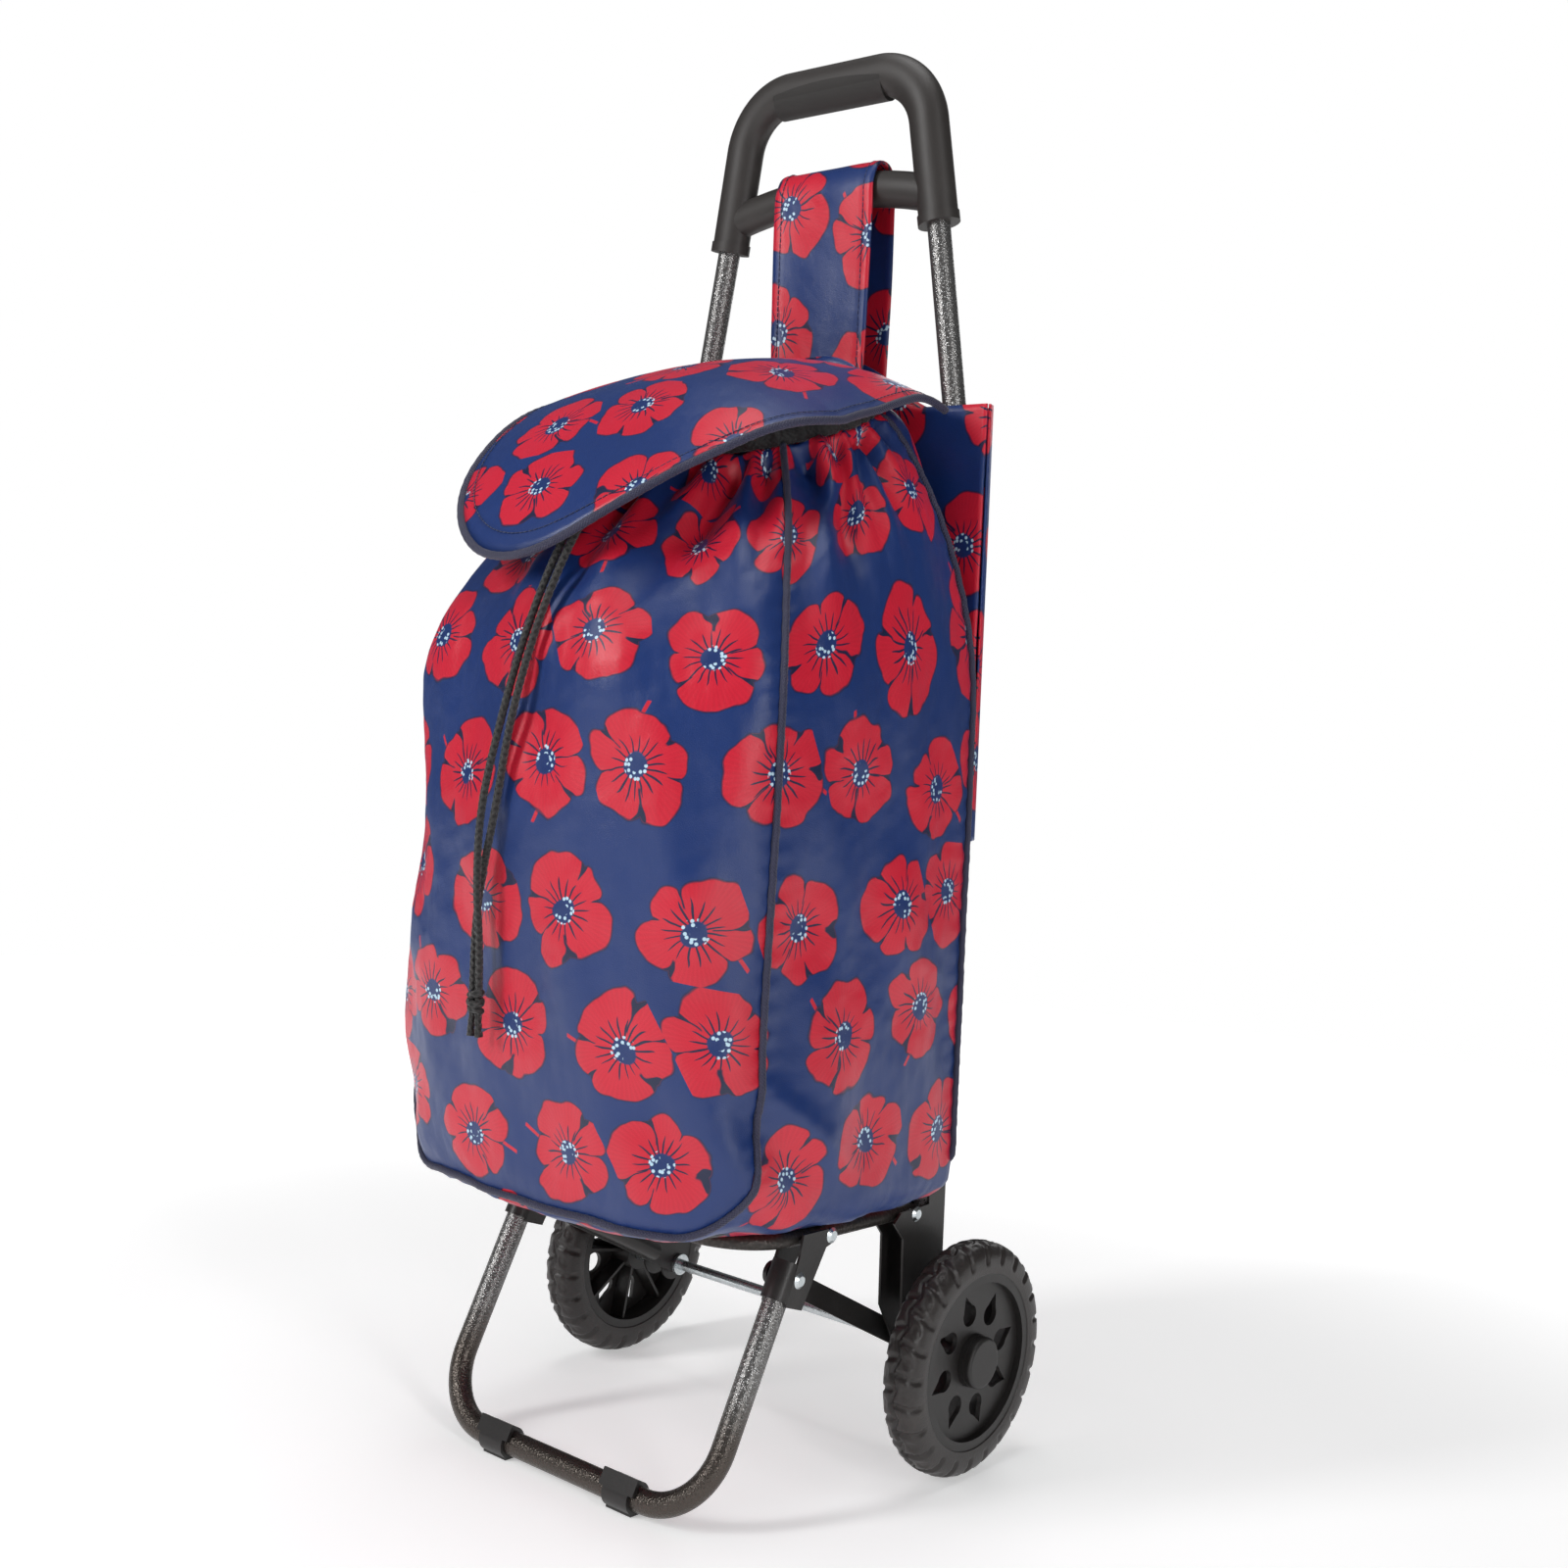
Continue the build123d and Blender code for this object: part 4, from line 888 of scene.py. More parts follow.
def build_back(settings):
    """The back panel, up to its arched top edge."""
    x = np.linspace(-151, 151, 90)
    f = np.linspace(0, 1, 120)
    xx, ff = np.meshgrid(x, f)
    low = floor_z(-6.0) + 16 + np.clip(np.abs(xx) - 121, 0, 30) ** 2 / 30
    zz = low + (arch_z(xx) - low) * ff
    yy = -6.2 + 0.7 * ripple(xx, zz, 120, 200, 3) + 0.35 * ripple(xx, zz, 40, 60, 4)
    grid = np.stack([xx, yy, zz], axis=-1)
    back = skin("bag_back", grid, np.stack([xx + 700, zz], axis=-1))
    outward(back, (0.0, -40.0, 450.0))
    thicken(back, 1.6, 0.0)
    finish_with(back, "poppy_cloth")
    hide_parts("back_panel")
    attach(back, "root")


def build_mouth(settings):
    """The black gathered channel round the mouth."""
    turn = np.linspace(-pi, pi, 361)[:-1]
    section = np.linspace(0, 2 * pi, 14, endpoint=False)
    tt, ss = np.meshgrid(turn, section, indexing="ij")
    wave = np.sin(tt * 31 + 1.1 * np.sin(tt * 3) + 0.7 * np.sin(tt * 7))
    high = 6.4 + 8.0 * np.sin(ss) + np.where(np.sin(ss) > 0, 1.5 * wave * np.sin(ss), 0)
    out = 2.5 * np.cos(ss) + (1.7 + 1.1 * np.sin(ss)) * wave + 0.6 * np.sin(tt * 67 + 2)
    grid = mouth_point(tt, out=out, up=high)
    uv = np.stack(np.meshgrid(np.linspace(0, 45, 15), np.append(turn, pi) * 92), axis=-1)
    closed_grid = np.concatenate([grid, grid[:1]])
    mouth = skin("mouth_ruffle", closed_grid, uv, closed=True)
    outward(merged(mouth, 0.00001))
    finish_with(mouth, "black_cloth")
    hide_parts("mouth_channel", "channel_cord")
    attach(mouth, "root")
    fold_with_base(mouth)


# ---- flap --------------------------------------------------------------------------------------
FLAP_PROFILE = smooth_line(((-10, 747), (-14, 748), (-50, 756), (-124, 743), (-180, 713), (-235, 653),
                            (-266, 602)))
FLAP_DROOP = ((-264, 28), (-235, 31), (-180, 40), (-124, 50), (-90, 47), (-50, 38), (-14, 34))
FLAP_WIDE = 138.0
FLAP_EDGE = smooth_line(((124, -16), (125, -60), (125.5, -105), (122, -142), (101, -190), (72, -221),
                         (44, -242), (10, -256), (-25, -261), (-60, -257), (-90, -244), (-112, -222),
                         (-122, -194), (-125.5, -140), (-125.5, -95), (-125, -55), (-124, -16)), 10)
FLAP_MIDDLE = np.array((0.0, -110.0))
FLAP_STEP = 3.2         # distance between points round the flap's edge


def flap_z(x, y):
    """Height of the flap over a place in plan."""
    order = np.argsort(FLAP_PROFILE[:, 0])
    profile = np.interp(y, FLAP_PROFILE[order, 0], FLAP_PROFILE[order, 1])
    droop = np.interp(y, *zip(*FLAP_DROOP))
    return profile - droop * (np.abs(x) / FLAP_WIDE) ** 2.0 * (0.72 + 0.28 * np.sign(x))


def bend_at_hinge(piece):
    """Let a piece of the flap stay sewn along its rear edge and bend just in front of it."""
    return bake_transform(piece, "root", "flap", start=tuple(stand((0.0, -17.0, 748.0))),
                    end=tuple(stand((0.0, -100.0, 748.0))))


def build_flap(settings):
    """The printed flap with its rolled edge."""
    edge = even_line(FLAP_EDGE, FLAP_STEP)
    rear = np.linspace(edge[-1], edge[0], 80)[1:-1]
    ring = np.vstack([edge, rear])
    shares = np.concatenate([[0.012], np.linspace(0.04, 1.0, 42)])
    plan = FLAP_MIDDLE + (ring - FLAP_MIDDLE)[None, :, :] * shares[:, None, None]
    x, y = plan[..., 0], plan[..., 1]
    z = flap_z(x, y) + 0.8 * ripple(x, y, 150, 190, 41) + 0.25 * ripple(x, y, 45, 60, 43)
    down = smooth_line(((-14, 0), (-50, 36), (-124, 113), (-180, 182), (-235, 269), (-266, 330)))
    order = np.argsort(down[:, 0])
    length = np.interp(y, down[order, 0], down[order, 1])
    grid = np.stack([x, y, z], axis=-1)
    uv = np.stack([x, -length], axis=-1)
    uv = np.concatenate([uv, uv[:, :1]], axis=1)
    flap = skin("flap_cloth", grid, uv, closed=True)
    work = bmesh.new()
    work.from_mesh(flap.data)
    work.verts.ensure_lookup_table()
    work.faces.new([work.verts[i] for i in range(len(ring))])
    work.to_mesh(flap.data)
    work.free()
    outward(flap, (0.0, -110.0, 560.0))
    flap.data.shade_smooth()
    thicken(flap, 1.8)
    finish_with(flap, "flap_print")
    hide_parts("flap_cover")
    rim = np.column_stack([edge, flap_z(edge[:, 0], edge[:, 1]) - 1.4])
    away = rim - (*FLAP_MIDDLE, 0.0)
    away[:, 2] = 0
    rim = rim + 0.7 * away / np.linalg.norm(away, axis=1)[:, None]
    piping = tube("flap_edging", rim, 2.7, 12, lambda turn, along: 0.12 * np.sin(along / 1.1 + turn))
    finish_with(piping, "piping_cloth")
    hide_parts("flap_piping")
    for piece in (flap, piping):
        bend_at_hinge(piece)


# ---- strap, sleeve, pocket ---------------------------------------------------------------------
def strap_path():
    """The strap's middle line, depth and height, over the crossbar and down behind it."""
    front = [(-4.8, 742), (-4.9, 780), (-4.6, 830), (-4.4, 868), (-4.2, 880)]
    over = [(-0.5, 890.5), (4.4, 895.4), (9.0, 896.2), (14.0, 895.0), (18.5, 890.5)]
    rear = [(21.6, 880), (22.0, 866), (22.4, 830), (22.2, 780), (21.6, 741), (21.5, 724)]
    return even_line(smooth_line(front + over + rear, 8), 3.0)


def build_strap(settings):
    """The cloth loop that hangs the bag from the handle's crossbar."""
    path = strap_path()
    normal, along = normals(path), distances(path)
    across = np.linspace(-1, 1, 31)
    section_x = np.concatenate([across, across[::-1]])
    hem = 0.75 + 0.45 * ease(np.abs(across), 0.82, 0.87) - 0.6 * ease(np.abs(across), 0.975, 1.0)
    lift = np.concatenate([hem, -hem[::-1]])
    half = np.interp(along, (0, 40, 120, along[-1]), (41.5, 43.0, 44.0, 42.0))
    wave = 0.5 * ripple(section_x[None, :] * 44, along[:, None] + 0 * section_x[None, :], 60, 90, 51)
    grid = np.empty((len(path), len(section_x), 3))
    grid[..., 0] = 3.0 + half[:, None] * section_x[None, :]
    grid[..., 1] = path[:, 0, None] + normal[:, 0, None] * (lift[None, :] + wave)
    grid[..., 2] = path[:, 1, None] + normal[:, 1, None] * (lift[None, :] + wave)
    u = np.concatenate([section_x * 44, [section_x[0] * 44]])
    uv = np.stack(np.meshgrid(u, along), axis=-1)
    faces_across = len(section_x)
    outer = np.arange(faces_across) < len(across) - 1
    marks = np.tile(np.where(outer, 0, 1), len(path) - 1)
    strap = skin("strap_cloth", grid, uv, closed=True, capped=True, marks=marks)
    outward(strap)
    finish_with(strap, "strap_print", "lining_cloth")
    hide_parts("strap_loop")
    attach(strap, "root")


SLEEVE_LOW_Z = 434


def build_sleeve(settings):
    """The sleeve behind the bag that slips over the two uprights."""
    plan = even_line(smooth_line(((152, -3.0), (147, 8), (136, 17.0), (121, 19.5), (90, 19.0),
                                  (0, 18.0), (-90, 19.0), (-121, 19.5), (-136, 17.0), (-147, 8),
                                  (-152, -3.0)), 10), 3.0)
    f = np.linspace(0, 1, 96)
    grid = np.empty((len(f), len(plan), 3))
    top = arch_z(plan[:, 0])
    zz = SLEEVE_LOW_Z + (top[None, :] - SLEEVE_LOW_Z) * f[:, None]
    along = distances(plan)
    uu = np.broadcast_to(along[None, :], zz.shape)
    sag = 0.9 * ripple(uu, zz, 120, 160, 61) + 0.35 * ripple(uu, zz, 34, 60, 63)
    grid[..., 0] = plan[None, :, 0]
    grid[..., 1] = plan[None, :, 1] + (sag * ease(uu, 8, 40)
                                       * (1 - ease(uu, along[-1] - 40, along[-1] - 8)))
    grid[..., 2] = zz
    sleeve = skin("frame_sleeve_cloth", grid, np.stack([uu + 1200, zz], axis=-1))
    outward(sleeve, (0.0, -60.0, 600.0))
    thicken(sleeve, 1.4)
    finish_with(sleeve, "poppy_cloth")
    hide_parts("frame_sleeve")
    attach(sleeve, "root")


POCKET_MID_Z, POCKET_HALF_TALL, POCKET_HALF_WIDE = 585.0, 115.0, 98.0
POCKET_Y = 26.0


def pocket_ring(turn, inset=0.0):
    """x and height above the pocket's middle of its outline, a rounded oblong."""
    def squared(wave, half):
        return np.sign(wave) * np.abs(wave) ** (2 / 9) * (half - inset)

    return squared(np.cos(turn), POCKET_HALF_WIDE), squared(np.sin(turn), POCKET_HALF_TALL)


def pocket_out(share, z):
    """How far the pocket's cloth stands out at a share of the way to its outline."""
    return np.interp(z, (470, 500, 560, 640, 700), (12.5, 13.5, 13.5, 11.5, 9.0)) * (1 - share ** 9)


def build_pocket(settings):
    """The zipped pocket on the sleeve."""
    turn = np.linspace(0, 2 * pi, 160, endpoint=False)
    shares = np.concatenate([[0.01], np.linspace(0.05, 0.94, 34), [0.965, 0.985, 1.0, 1.0, 1.0]])
    ring_x, ring_z = pocket_ring(turn)
    share = shares[:, None]
    x = share * ring_x[None, :]
    z = POCKET_MID_Z + share * ring_z[None, :]
    y = POCKET_Y + pocket_out(share, z) + 0.8 * ripple(x, z, 90, 120, 71) * (1 - share ** 9)
    y[-2], y[-1] = 24.6, 22.2
    pocket = skin("pocket_cloth", np.stack([x, y, z], axis=-1),
                  np.stack([np.hstack([x, x[:, :1]]) + 300, np.hstack([z, z[:, :1]])], axis=-1),
                  closed=True)
    outward(pocket, (0.0, 0.0, POCKET_MID_Z))
    thicken(pocket, 1.4)
    finish_with(pocket, "poppy_cloth")
    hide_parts("back_pocket")
    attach(pocket, "root")


# ---- repeated pieces by Geometry Nodes ---------------------------------------------------------
def repeat_tree(name, material, sides):
    """A tree that sets small beads along a line: inputs Spacing, Thickness and Length."""
    tree = bpy.data.node_groups.new(name, "GeometryNodeTree")
    sockets = tree.interface
    sockets.new_socket("Geometry", in_out="INPUT", socket_type="NodeSocketGeometry")
    for label, value in (("Spacing", 0.004), ("Thickness", 0.0007), ("Length", 0.003)):
        socket = sockets.new_socket(label, in_out="INPUT", socket_type="NodeSocketFloat")
        socket.default_value = value
    sockets.new_socket("Geometry", in_out="OUTPUT", socket_type="NodeSocketGeometry")
    nodes, links = tree.nodes, tree.links

    def add(kind, settings=(), **sockets):
        made = nodes.new(kind)
        for key, value in settings:
            setattr(made, key, value)
        for key, value in sockets.items():
            key = key.replace("_", " ")
            if isinstance(value, bpy.types.NodeSocket):
                links.new(value, made.inputs[key])
            else:
                made.inputs[key].default_value = value
        return made

    given, result = nodes.new("NodeGroupInput"), nodes.new("NodeGroupOutput")
    curve = add("GeometryNodeMeshToCurve", Mesh=given.outputs["Geometry"])
    points = add("GeometryNodeCurveToPoints", (("mode", "LENGTH"),), Curve=curve.outputs[0],
                 Length=given.outputs["Spacing"])
    bead = add("GeometryNodeMeshCylinder", (("fill_type", "TRIANGLE_FAN"),), Vertices=sides,
               Side_Segments=2, Depth=1.0, Radius=0.5)
    size = nodes.new("ShaderNodeCombineXYZ")
    for key, socket in (("X", "Thickness"), ("Y", "Thickness"), ("Z", "Length")):
        links.new(given.outputs[socket], size.inputs[key])
    set_out = add("GeometryNodeInstanceOnPoints", Points=points.outputs["Points"],
                  Instance=bead.outputs["Mesh"], Rotation=points.outputs["Rotation"],
                  Scale=size.outputs[0])
    real = add("GeometryNodeRealizeInstances", Geometry=set_out.outputs[0])
    smooth = add("GeometryNodeSetShadeSmooth", Geometry=real.outputs[0])
    painted = add("GeometryNodeSetMaterial", Geometry=smooth.outputs[0])
    painted.inputs["Material"].default_value = material
    links.new(painted.outputs[0], result.inputs[0])
    return tree


def beads_along(name, lines, tree, spacing, thickness, length, material):
    """A plain mesh of the tree's beads along lines in drawn millimetres."""
    points, edges = [], []
    for line in lines:
        first = len(points)
        points.extend(stand(line).tolist())
        edges.extend((first + k, first + k + 1) for k in range(len(line) - 1))
    mesh = bpy.data.meshes.new(name + "_line")
    mesh.from_pydata(points, edges, [])
    piece = bpy.data.objects.new(name, mesh)
    bpy.context.scene.collection.objects.link(piece)
    modifier = piece.modifiers.new("repeat", "NODES")
    modifier.node_group = tree
    values = {"Spacing": spacing, "Thickness": thickness, "Length": length}
    for item in tree.interface.items_tree:
        if item.item_type == "SOCKET" and item.in_out == "INPUT" and item.name in values:
            modifier[item.identifier] = values[item.name]
    baked(piece)
    outward(piece)
    finish_with(piece, material)
    return piece


ZIP_Z = 653.0


def build_stitches(settings):
    """Stitches of the flap, strap and pocket, and the zip's teeth."""
    trim = settings.trolley_trim
    threads = repeat_tree("stitch_row", materials["thread"], 5)
    teeth_tree = repeat_tree("zip_row", materials["zip_nylon"], 6)
    edge = even_line(FLAP_EDGE, FLAP_STEP)
    inner = FLAP_MIDDLE + (edge - FLAP_MIDDLE) * 0.955
    flap_line = np.column_stack([inner, flap_z(inner[:, 0], inner[:, 1]) + 0.9])
    flap_row = beads_along("flap_stitches", [flap_line], threads, trim.stitch * 1.25, trim.thread,
                           trim.stitch, "thread")
    bend_at_hinge(flap_row)
    path = strap_path()[2:-2]
    run = path + normals(path) * 1.35
    strap_lines = [np.column_stack([np.full(len(run), x), run]) for x in (-34.0, 40.0)]
    strap_row = beads_along("strap_stitches", strap_lines, threads, trim.stitch * 1.25, trim.thread,
                            trim.stitch, "thread")
    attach(strap_row, "root")
    ring_x, ring_z = pocket_ring(np.linspace(0, 2 * pi, 200), 3.5)
    ring_z = POCKET_MID_Z + ring_z
    ring = np.column_stack([ring_x, POCKET_Y + pocket_out(0.966, ring_z) + 0.6, ring_z])
    pocket_row = beads_along("pocket_stitches", [ring], threads, trim.stitch * 1.25, trim.thread,
                             trim.stitch, "thread")
    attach(pocket_row, "root")
    rows = [np.linspace((-84, 40.2, ZIP_Z + lift), (84, 40.2, ZIP_Z + lift), 40)
            for lift in (-1.1, 1.1)]
    zip_teeth = beads_along("zip_teeth", rows, teeth_tree, 0.0016, 0.0021, 0.0009, "zip_nylon")
    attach(zip_teeth, "root")


# ---- drawstring --------------------------------------------------------------------------------
CORD_R = 2.5
KNOT_AT = (-23.0, -281.0)
STRANDS = {
    "right": ((14, -168, 684), (15, -194, 673), (16, -228, 648), (15, -254, 607), (7, -270, 557),
              (-4, -276, 506), (-12, -278, 455), (-24, -279, 405), (-25.8, -281, 368),
              (-25.8, -281, 340)),
    "left": ((6, -168, 684), (6, -194, 672), (7, -228, 647), (6, -254, 606), (-1, -270, 556),
             (-12, -277, 505), (-22, -282, 454), (-18, -287, 405), (-20.2, -281, 368),
             (-20.2, -281, 340)),
}


def spline_line(name, route):
    """Points along the smooth NURBS spline of a cord's route, in metres."""
    curve = bpy.data.curves.new(name, "CURVE")
    curve.dimensions = "3D"
    spline = curve.splines.new("NURBS")
    spline.points.add(len(route) - 1)
    for point, place in zip(spline.points, stand(route)):
        point.co = (*place, 1.0)
    spline.order_u = 3
    spline.use_endpoint_u = True
    spline.resolution_u = 24
    holder = bpy.data.objects.new(name, curve)
    bpy.context.scene.collection.objects.link(holder)
    bpy.context.view_layer.update()
    mesh = bpy.data.meshes.new_from_object(holder)
    line = np.array([v.co for v in mesh.vertices])
    bpy.data.objects.remove(holder)
    bpy.data.meshes.remove(mesh)
    return line


def unstand(points):
    """Metres in the frame back to drawn millimetres."""
    p = np.asarray(points, float) / MM
    y, z = p[..., 1] - SHIFT_Y, p[..., 2] - AXLE_Z
    return np.stack([p[..., 0], cos(LEAN) * y + sin(LEAN) * z, -sin(LEAN) * y + cos(LEAN) * z + AXLE_Z],
                    axis=-1)


def build_cords(settings):
    """The two braided strands of the drawstring with their knot and tails."""
    braid = settings.trolley_trim.braid

    def relief(turn, along):
        one = np.sin(3 * turn + along * 1.25)
        two = np.sin(3 * turn - along * 1.25)
        return braid * np.maximum(one, two) - braid

    knot_parts = []
    knot_x, knot_y = KNOT_AT
    for k, (x, lean) in enumerate(((-2.8, -0.6), (2.8, 0.6))):
        tail = smooth_line(((knot_x + x, knot_y, 336), (knot_x + x, knot_y, 325),
                            (knot_x + x + lean, knot_y - 0.3, 317),
                            (knot_x + x * 1.1 + lean, knot_y, 311.5)), 12)
        size = np.interp(tail[:, 2], (311.5, 313.5, 316), (2.9, 2.7, 2.35))
        knot_parts.append(tube(f"tail_{k}", tail, size, 16, relief))
    turn = np.linspace(0, 2 * pi, 60)
    for k, (z, tilt, grow) in enumerate(((338.0, 0.24, 0.0), (333.0, -0.30, 0.3), (328.0, 0.22, 0.0))):
        wrap = np.column_stack([knot_x + (4.0 + grow) * np.cos(turn),
                                knot_y + (2.6 + grow) * np.sin(turn),
                                z + 4.6 * tilt * np.cos(turn + k)])
        knot_parts.append(tube(f"wrap_{k}", wrap, 2.45, 14, relief, closed_ends=False))
    knot = joined("cord_knot_wrapped", knot_parts)
    finish_with(knot, "cord_braid")
    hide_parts("cord_knot")
    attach(knot, "root")
    for side, route in STRANDS.items():
        line = even_line(unstand(spline_line(f"route_{side}", route)), 0.85)
        strand = tube(f"cord_{side}", line, CORD_R, 18, relief)
        finish_with(strand, "cord_braid")
        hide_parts(f"cord_strand_{side}")
        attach(strand, "root")
        path = stand(line[::4] if (len(line) - 1) % 4 == 0 else np.vstack([line[::4], line[-1:]]))
        tuple(stand(route[0]))
        fold_with_base(strand)
    fold_with_base(knot)


# ---- wheels ------------------------------------------------------------------------------------
TYRE_X, TYRE_HALF = 162.0, 14.0     # middle of a tyre, and half its width


def build_tyres(settings):
    """Tyres with two rows of curved lugs."""
    wheels = settings.trolley_wheels
    profile = smooth_line(((148.6, 60.0), (148.2, 66), (149.2, 72.5), (152.4, 77.4), (156.5, 79.3),
                           (162, 80.0), (167.5, 79.3), (171.6, 77.4), (174.8, 72.5), (175.8, 66),
                           (175.4, 60.0)), 7)
    count = wheels.lugs * 16
    turn = np.linspace(0, 2 * pi, count, endpoint=False)
    x0, r0 = profile[:, 0], profile[:, 1]
    w = (x0 - TYRE_X) / TYRE_HALF
    ww, tt = np.meshgrid(w, turn)
    cell = wheels.lugs * tt / (2 * pi)
    edge_side = np.where(ww > 0, 0.5, 0.0)
    across_gap = np.abs((cell + edge_side + 0.22 * np.abs(ww) ** 2) % 1.0 - 0.5)
    zigzag = 0.16 * (4 * np.abs((cell % 1.0) - 0.5) - 1)
    middle_gap = np.abs(ww - zigzag)
    cut = np.maximum(ease(across_gap, 0.36, 0.44), ease(middle_gap, 0.13, 0.06))
    hollow = 0.45 * ease(np.hypot(across_gap * 2.6, (np.abs(ww) - 0.58) * 2.4), 0.62, 0.38)
    crown = ease(np.broadcast_to(r0, ww.shape), 64.5, 70.5)
    sink = wheels.groove * np.clip(cut + hollow, 0, 1) * crown
    thin = 1.3 * ease(np.abs(ww), 0.55, 1.0) * cut * crown
    rr = r0[None, :] - sink
    xx = TYRE_X + (x0[None, :] - TYRE_X) * (1 - thin / TYRE_HALF)
    for label, side in (("right", 1), ("left", -1)):
        grid = np.stack([side * xx, rr * np.sin(tt), AXLE_Z + rr * np.cos(tt)], axis=-1)
        inner = grid[:, :1] * 0.35 + grid[:, -1:] * 0.65
        grid = np.concatenate([grid, inner, grid[:, :1] * 0.65 + grid[:, -1:] * 0.35], axis=1)
        grid = np.concatenate([grid, grid[:1]], axis=0)
        uv = np.stack(np.meshgrid(np.linspace(0, 80, grid.shape[1] + 1),
                                  np.linspace(0, 500, grid.shape[0])), axis=-1)
        tyre = skin(f"tyre_tread_{label}", grid, uv, closed=True)
        outward(merged(tyre, 0.000005))
        finish_with(tyre, "tyre_rubber")
        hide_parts(f"tyre_{label}")
        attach(tyre, f"wheel_{label}")


def paint_frame(settings):
    """Finishes on the CAD pieces whose shape stays."""
    nodes = frame["nodes"]
    plan = {
        "steel_hammered": ("upright_right", "upright_left"),
        "leg_hammered": ("leg_tube",),
        "tube_bronze": ("base_loop",),
        "bracket_paint": ("rear_bracket_right", "rear_bracket_left", "leg_bracket_right",
                          "leg_bracket_left", "link_bar_right", "link_bar_left", "foot_clip_right",
                          "foot_clip_left"),
        "zinc": ("axle", "axle_push_nuts", "axle_spacers", "axle_collars", "base_pivot_rivets",
                 "bracket_rivets", "zip_slider"),
        "handle_satin": ("handle_grip",),
        "grip_soft": ("handle_pad",),
        "wheel_satin": ("rim_right", "rim_left", "hub_cap_right", "hub_cap_left", "hub_bush_right",
                        "hub_bush_left"),
        "zip_tape": ("pocket_zip",),
    }
    for name, wanted in plan.items():
        repaint(name, *[n for n in wanted if n in nodes])


HAMMERED = ((0.36, 0.36, 0.36), (0.17, 0.165, 0.16), 760.0, 0.92, 0.19)


def make_materials(settings):
    """Every finish, by name."""
    cloth = settings.trolley_cloth
    materials.update(
        poppy_cloth=poppy_print("poppy_cloth", cloth, (0.031, 0.012)),
        flap_print=poppy_print("flap_print", cloth, (0.052, 0.044)),
        strap_print=poppy_print("strap_print", cloth, (0.018, 0.060), 0.4),
        lining_cloth=plain_cloth("lining_cloth", tuple(cloth.lining), (0.030, 0.055, 0.095)),
        piping_cloth=plain_cloth("piping_cloth", (0.032, 0.032, 0.072), (0.012, 0.012, 0.035), 1500.0,
                                 0.5),
        black_cloth=plain_cloth("black_cloth", (0.008, 0.0075, 0.008), (0.002, 0.002, 0.002), 800.0,
                                0.6),
        thread=plain_cloth("thread", (0.020, 0.030, 0.090), (0.008, 0.012, 0.040), 2000.0, 0.5),
        steel_hammered=hammertone("steel_hammered", *HAMMERED),
        leg_hammered=hammertone("leg_hammered", *HAMMERED, foot=(0.085, 0.072, 0.063)),
        tube_bronze=hammertone("tube_bronze", (0.060, 0.052, 0.047), (0.030, 0.026, 0.023), 420.0, 0.60,
                               0.30),
        bracket_paint=satin_plastic("bracket_paint", (0.012, 0.0105, 0.010), (0.045, 0.041, 0.039),
                                    0.34, 600.0, 0.00012, 0.15, 0.15),
        zinc=zinc_plate("zinc"),
        handle_satin=satin_plastic("handle_satin", (0.024, 0.0205, 0.019), (0.046, 0.040, 0.037), 0.40),
        grip_soft=satin_plastic("grip_soft", (0.018, 0.016, 0.015), (0.034, 0.030, 0.028), 0.58, 900.0,
                                0.00015),
        wheel_satin=satin_plastic("wheel_satin", (0.013, 0.0115, 0.011), (0.034, 0.031, 0.029), 0.36),
        tyre_rubber=tyre_rubber("tyre_rubber"),
        cord_braid=braid_cloth("cord_braid"),
        board_grey=satin_plastic("board_grey", (0.10, 0.10, 0.10), (0.18, 0.18, 0.17), 0.6, 400.0),
        zip_tape=satin_plastic("zip_tape", (0.010, 0.014, 0.040), (0.03, 0.04, 0.09), 0.7, 1800.0,
                               0.0002),
        zip_nylon=satin_plastic("zip_nylon", (0.012, 0.014, 0.030), (0.05, 0.05, 0.09), 0.35),
        stage_white=floor_paint("stage_white"),
    )


# ---- stage -------------------------------------------------------------------------------------
CAMERA_AT = (0.8566, -0.9530, 0.49585)
CAMERA_TURN = (88.12, -4.332, 39.351)
WORLD_LIGHT = 0.10
FLOOR_GLOW = 1.0
FLOOR_R, FLOOR_SIDES = 2.4, 64


def area_light(name, place, target, size, power):
    """An oblong lamp that faces target."""
    light = bpy.data.lights.new(name, "AREA")
    light.shape, light.size, light.size_y = "RECTANGLE", size[0], size[1]
    light.energy = power
    holder = bpy.data.objects.new(name, light)
    holder.location = place
    holder.rotation_euler = (Vector(target) - Vector(place)).to_track_quat("-Z", "Y").to_euler()
    bpy.context.scene.collection.objects.link(holder)


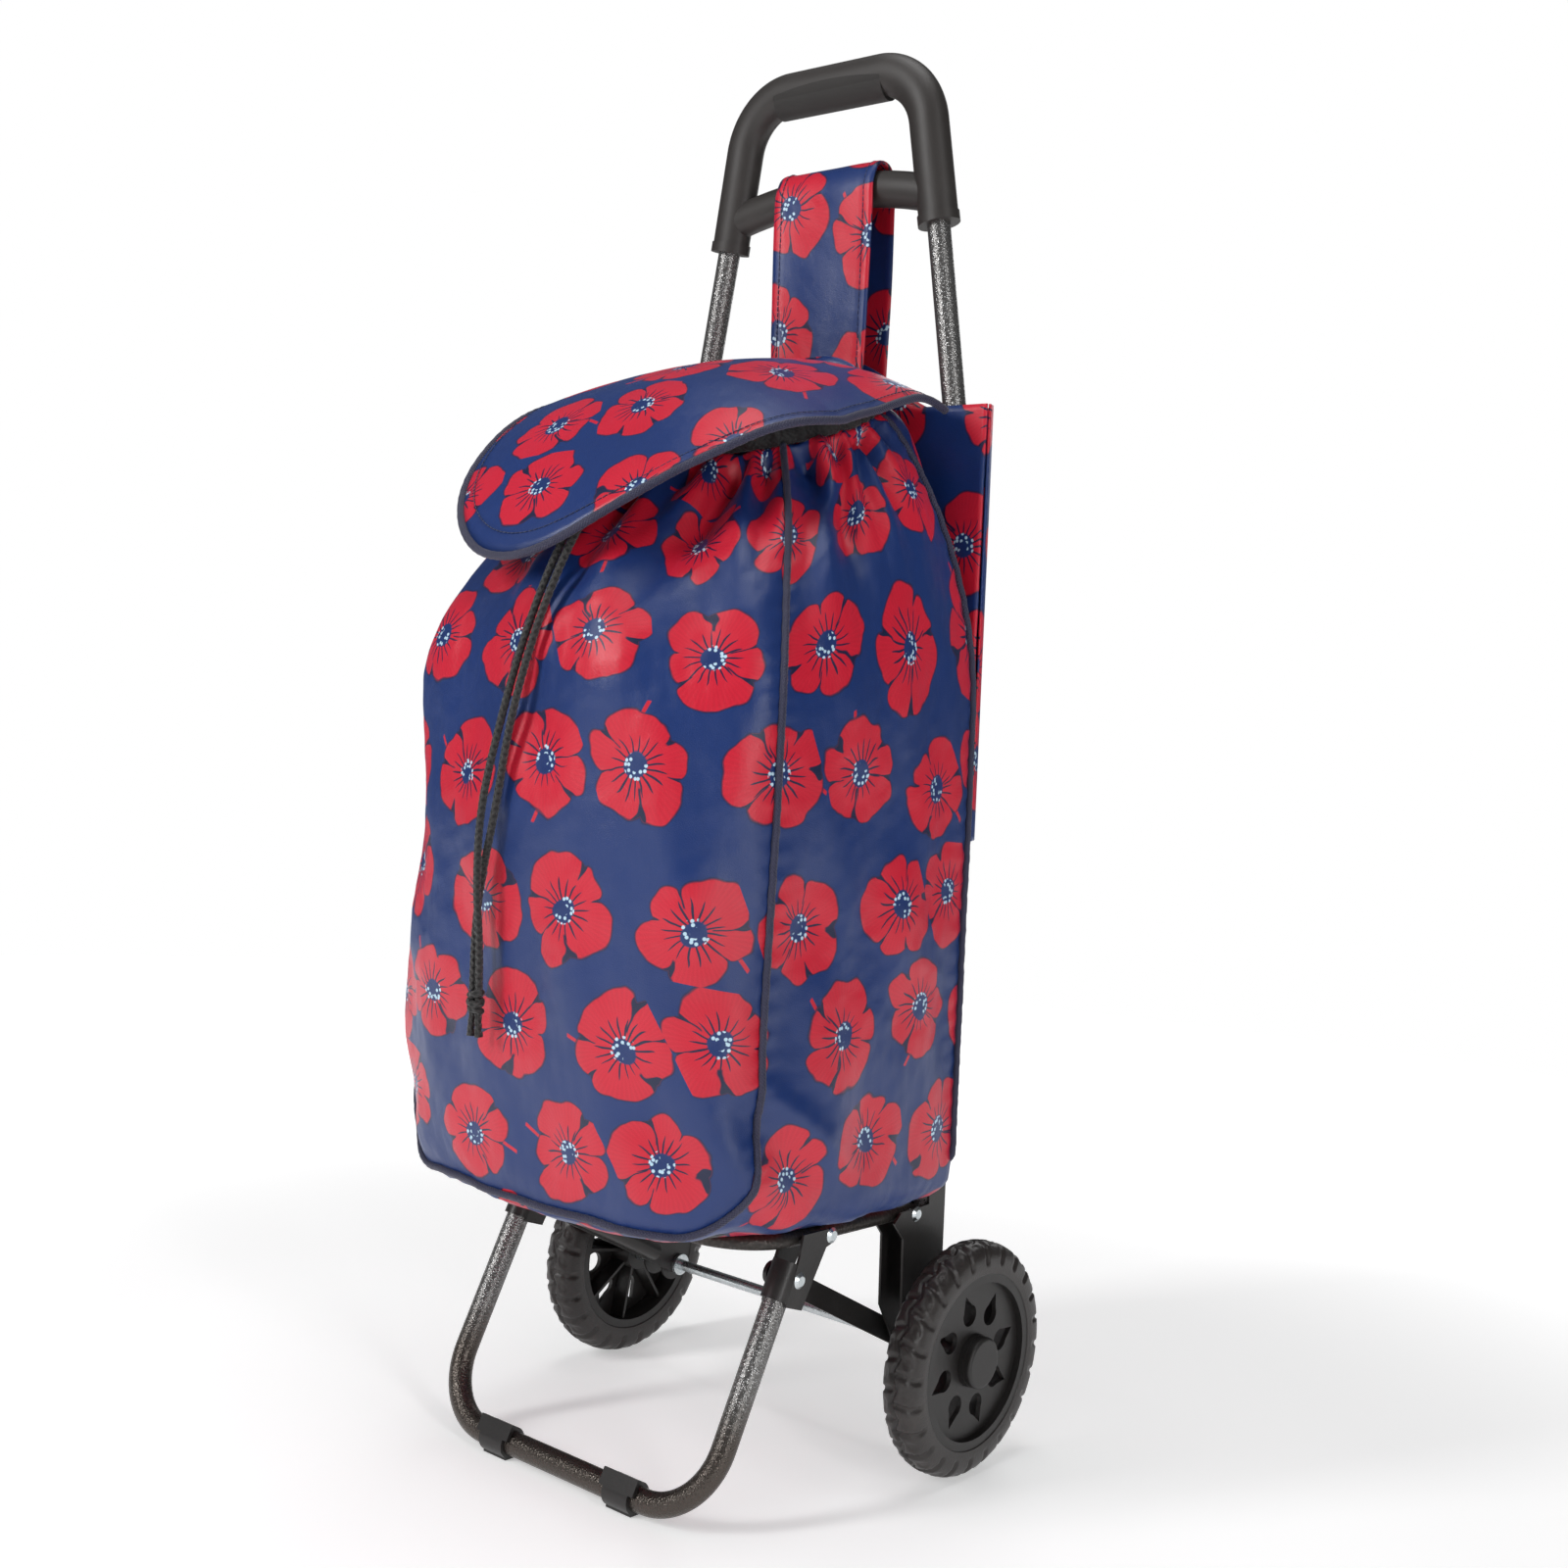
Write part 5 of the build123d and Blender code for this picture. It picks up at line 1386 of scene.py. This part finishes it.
def build_stage(scene):
    """The camera, the round floor, the background and the lamps."""
    camera = bpy.data.cameras.new("camera")
    camera.lens, camera.sensor_width = 42.72, 36.0
    camera.shift_x, camera.shift_y = -0.0181, 0.0081
    camera.clip_start, camera.clip_end = 0.05, 50.0
    holder = bpy.data.objects.new("camera", camera)
    holder.location = CAMERA_AT
    holder.rotation_euler = Euler([radians(a) for a in CAMERA_TURN])
    scene.collection.objects.link(holder)
    scene.camera = holder
    floor = bpy.data.meshes.new("stage_floor")
    around = np.linspace(0, 2 * pi, FLOOR_SIDES, endpoint=False)
    ring = [(FLOOR_R * cos(a), FLOOR_R * sin(a), -0.0004) for a in around]
    floor.from_pydata(ring, [], [list(range(FLOOR_SIDES))])
    floor.uv_layers.new(name=CLOTH_UV)
    stage = bpy.data.objects.new("stage_floor", floor)
    scene.collection.objects.link(stage)
    floor.materials.append(materials["stage_white"])
    world = bpy.data.worlds.new("studio")
    scene.world = world
    world.use_nodes = True
    nodes, links = world.node_tree.nodes, world.node_tree.links
    lit, seen = nodes["Background"], nodes.new("ShaderNodeBackground")
    lit.inputs["Color"].default_value = (0.96, 0.98, 1.0, 1.0)
    lit.inputs["Strength"].default_value = WORLD_LIGHT
    seen.inputs["Color"].default_value = (1.0, 1.0, 1.0, 1.0)
    seen.inputs["Strength"].default_value = 1.0
    way, blend = nodes.new("ShaderNodeLightPath"), nodes.new("ShaderNodeMixShader")
    links.new(way.outputs["Is Camera Ray"], blend.inputs[0])
    links.new(lit.outputs[0], blend.inputs[1])
    links.new(seen.outputs[0], blend.inputs[2])
    links.new(blend.outputs[0], nodes["World Output"].inputs["Surface"])
    area_light("key", (-0.9, -2.3, 1.7), (0, 0, 0.45), (0.42, 1.5), 40.0)
    area_light("side", (2.4, -0.9, 1.1), (0, 0, 0.45), (0.3, 1.7), 20.0)
    area_light("top", (0.1, -0.2, 2.6), (0, 0, 0.4), (1.2, 1.2), 20.0)
    area_light("rim", (-0.8, 2.2, 1.6), (0, 0, 0.5), (1.2, 1.2), 9.0)
    scene.view_settings.view_transform = "Standard"


# ---- operators ---------------------------------------------------------------------------------
def operator(name, label, doc, work):
    """An operator class that runs work(scene)."""
    def execute(self, context):
        work(context.scene)
        return {"FINISHED"}
    return type(f"TROLLEY_OT_{name}", (bpy.types.Operator,),
                {"bl_idname": f"trolley.{name}", "bl_label": label, "__doc__": doc, "execute": execute})


OPERATORS = [operator(*row) for row in (
    ("materials", "Materials", "Make every finish.", make_materials),
    ("stage", "Stage", "Add the camera, lights and floor.", build_stage),
    ("cords", "Drawstring", "Braid the drawstring's strands and knot.", build_cords),
    ("body", "Bag body", "Sew and gather the bag.", build_body),
    ("board", "Base board", "Stiffen the floor of the bag.", build_board),
    ("piping", "Bag piping", "Cord the bag's seams.", build_piping),
    ("back", "Back panel", "Add the arched back panel.", build_back),
    ("mouth", "Mouth", "Gather the channel round the mouth.", build_mouth),
    ("flap", "Flap", "Add the flap and its edging.", build_flap),
    ("strap", "Strap", "Hang the bag from the crossbar.", build_strap),
    ("sleeve", "Sleeve", "Add the sleeve over the uprights.", build_sleeve),
    ("pocket", "Pocket", "Add the zipped back pocket.", build_pocket),
    ("stitches", "Stitches", "Sew the stitches and set the zip's teeth.", build_stitches),
    ("tyres", "Tyres", "Cut the tread of both tyres.", build_tyres),
    ("frame", "Frame finishes", "Finish the frame, wheels and handle.", paint_frame),
)]
GROUPS = {"trolley_cloth": TrolleyCloth, "trolley_bag": TrolleyBag, "trolley_wheels": TrolleyWheels,
          "trolley_trim": TrolleyTrim}


class TROLLEY_PT_panel(bpy.types.Panel):
    """Sidebar panel of the trolley."""
    bl_label = "Trolley"
    bl_space_type = "VIEW_3D"
    bl_region_type = "UI"
    bl_category = "Trolley"

    def draw(self, context):
        for name in GROUPS:
            group = getattr(context.scene, name)
            for key in group.__annotations__:
                self.layout.prop(group, key)
        for kind in OPERATORS:
            self.layout.operator(kind.bl_idname)


def register():
    for name, kind in GROUPS.items():
        bpy.utils.register_class(kind)
        setattr(bpy.types.Scene, name, PointerProperty(type=kind))
    for kind in (*OPERATORS, TROLLEY_PT_panel):
        bpy.utils.register_class(kind)


def unregister():
    for kind in (TROLLEY_PT_panel, *reversed(OPERATORS)):
        bpy.utils.unregister_class(kind)
    for name, kind in GROUPS.items():
        delattr(bpy.types.Scene, name)
        bpy.utils.unregister_class(kind)


def main():
    register()
    for kind in OPERATORS:
        getattr(bpy.ops.trolley, kind.bl_idname.split(".")[1])()
    bpy.context.view_layer.update()


if __name__ == "__main__":
    main()
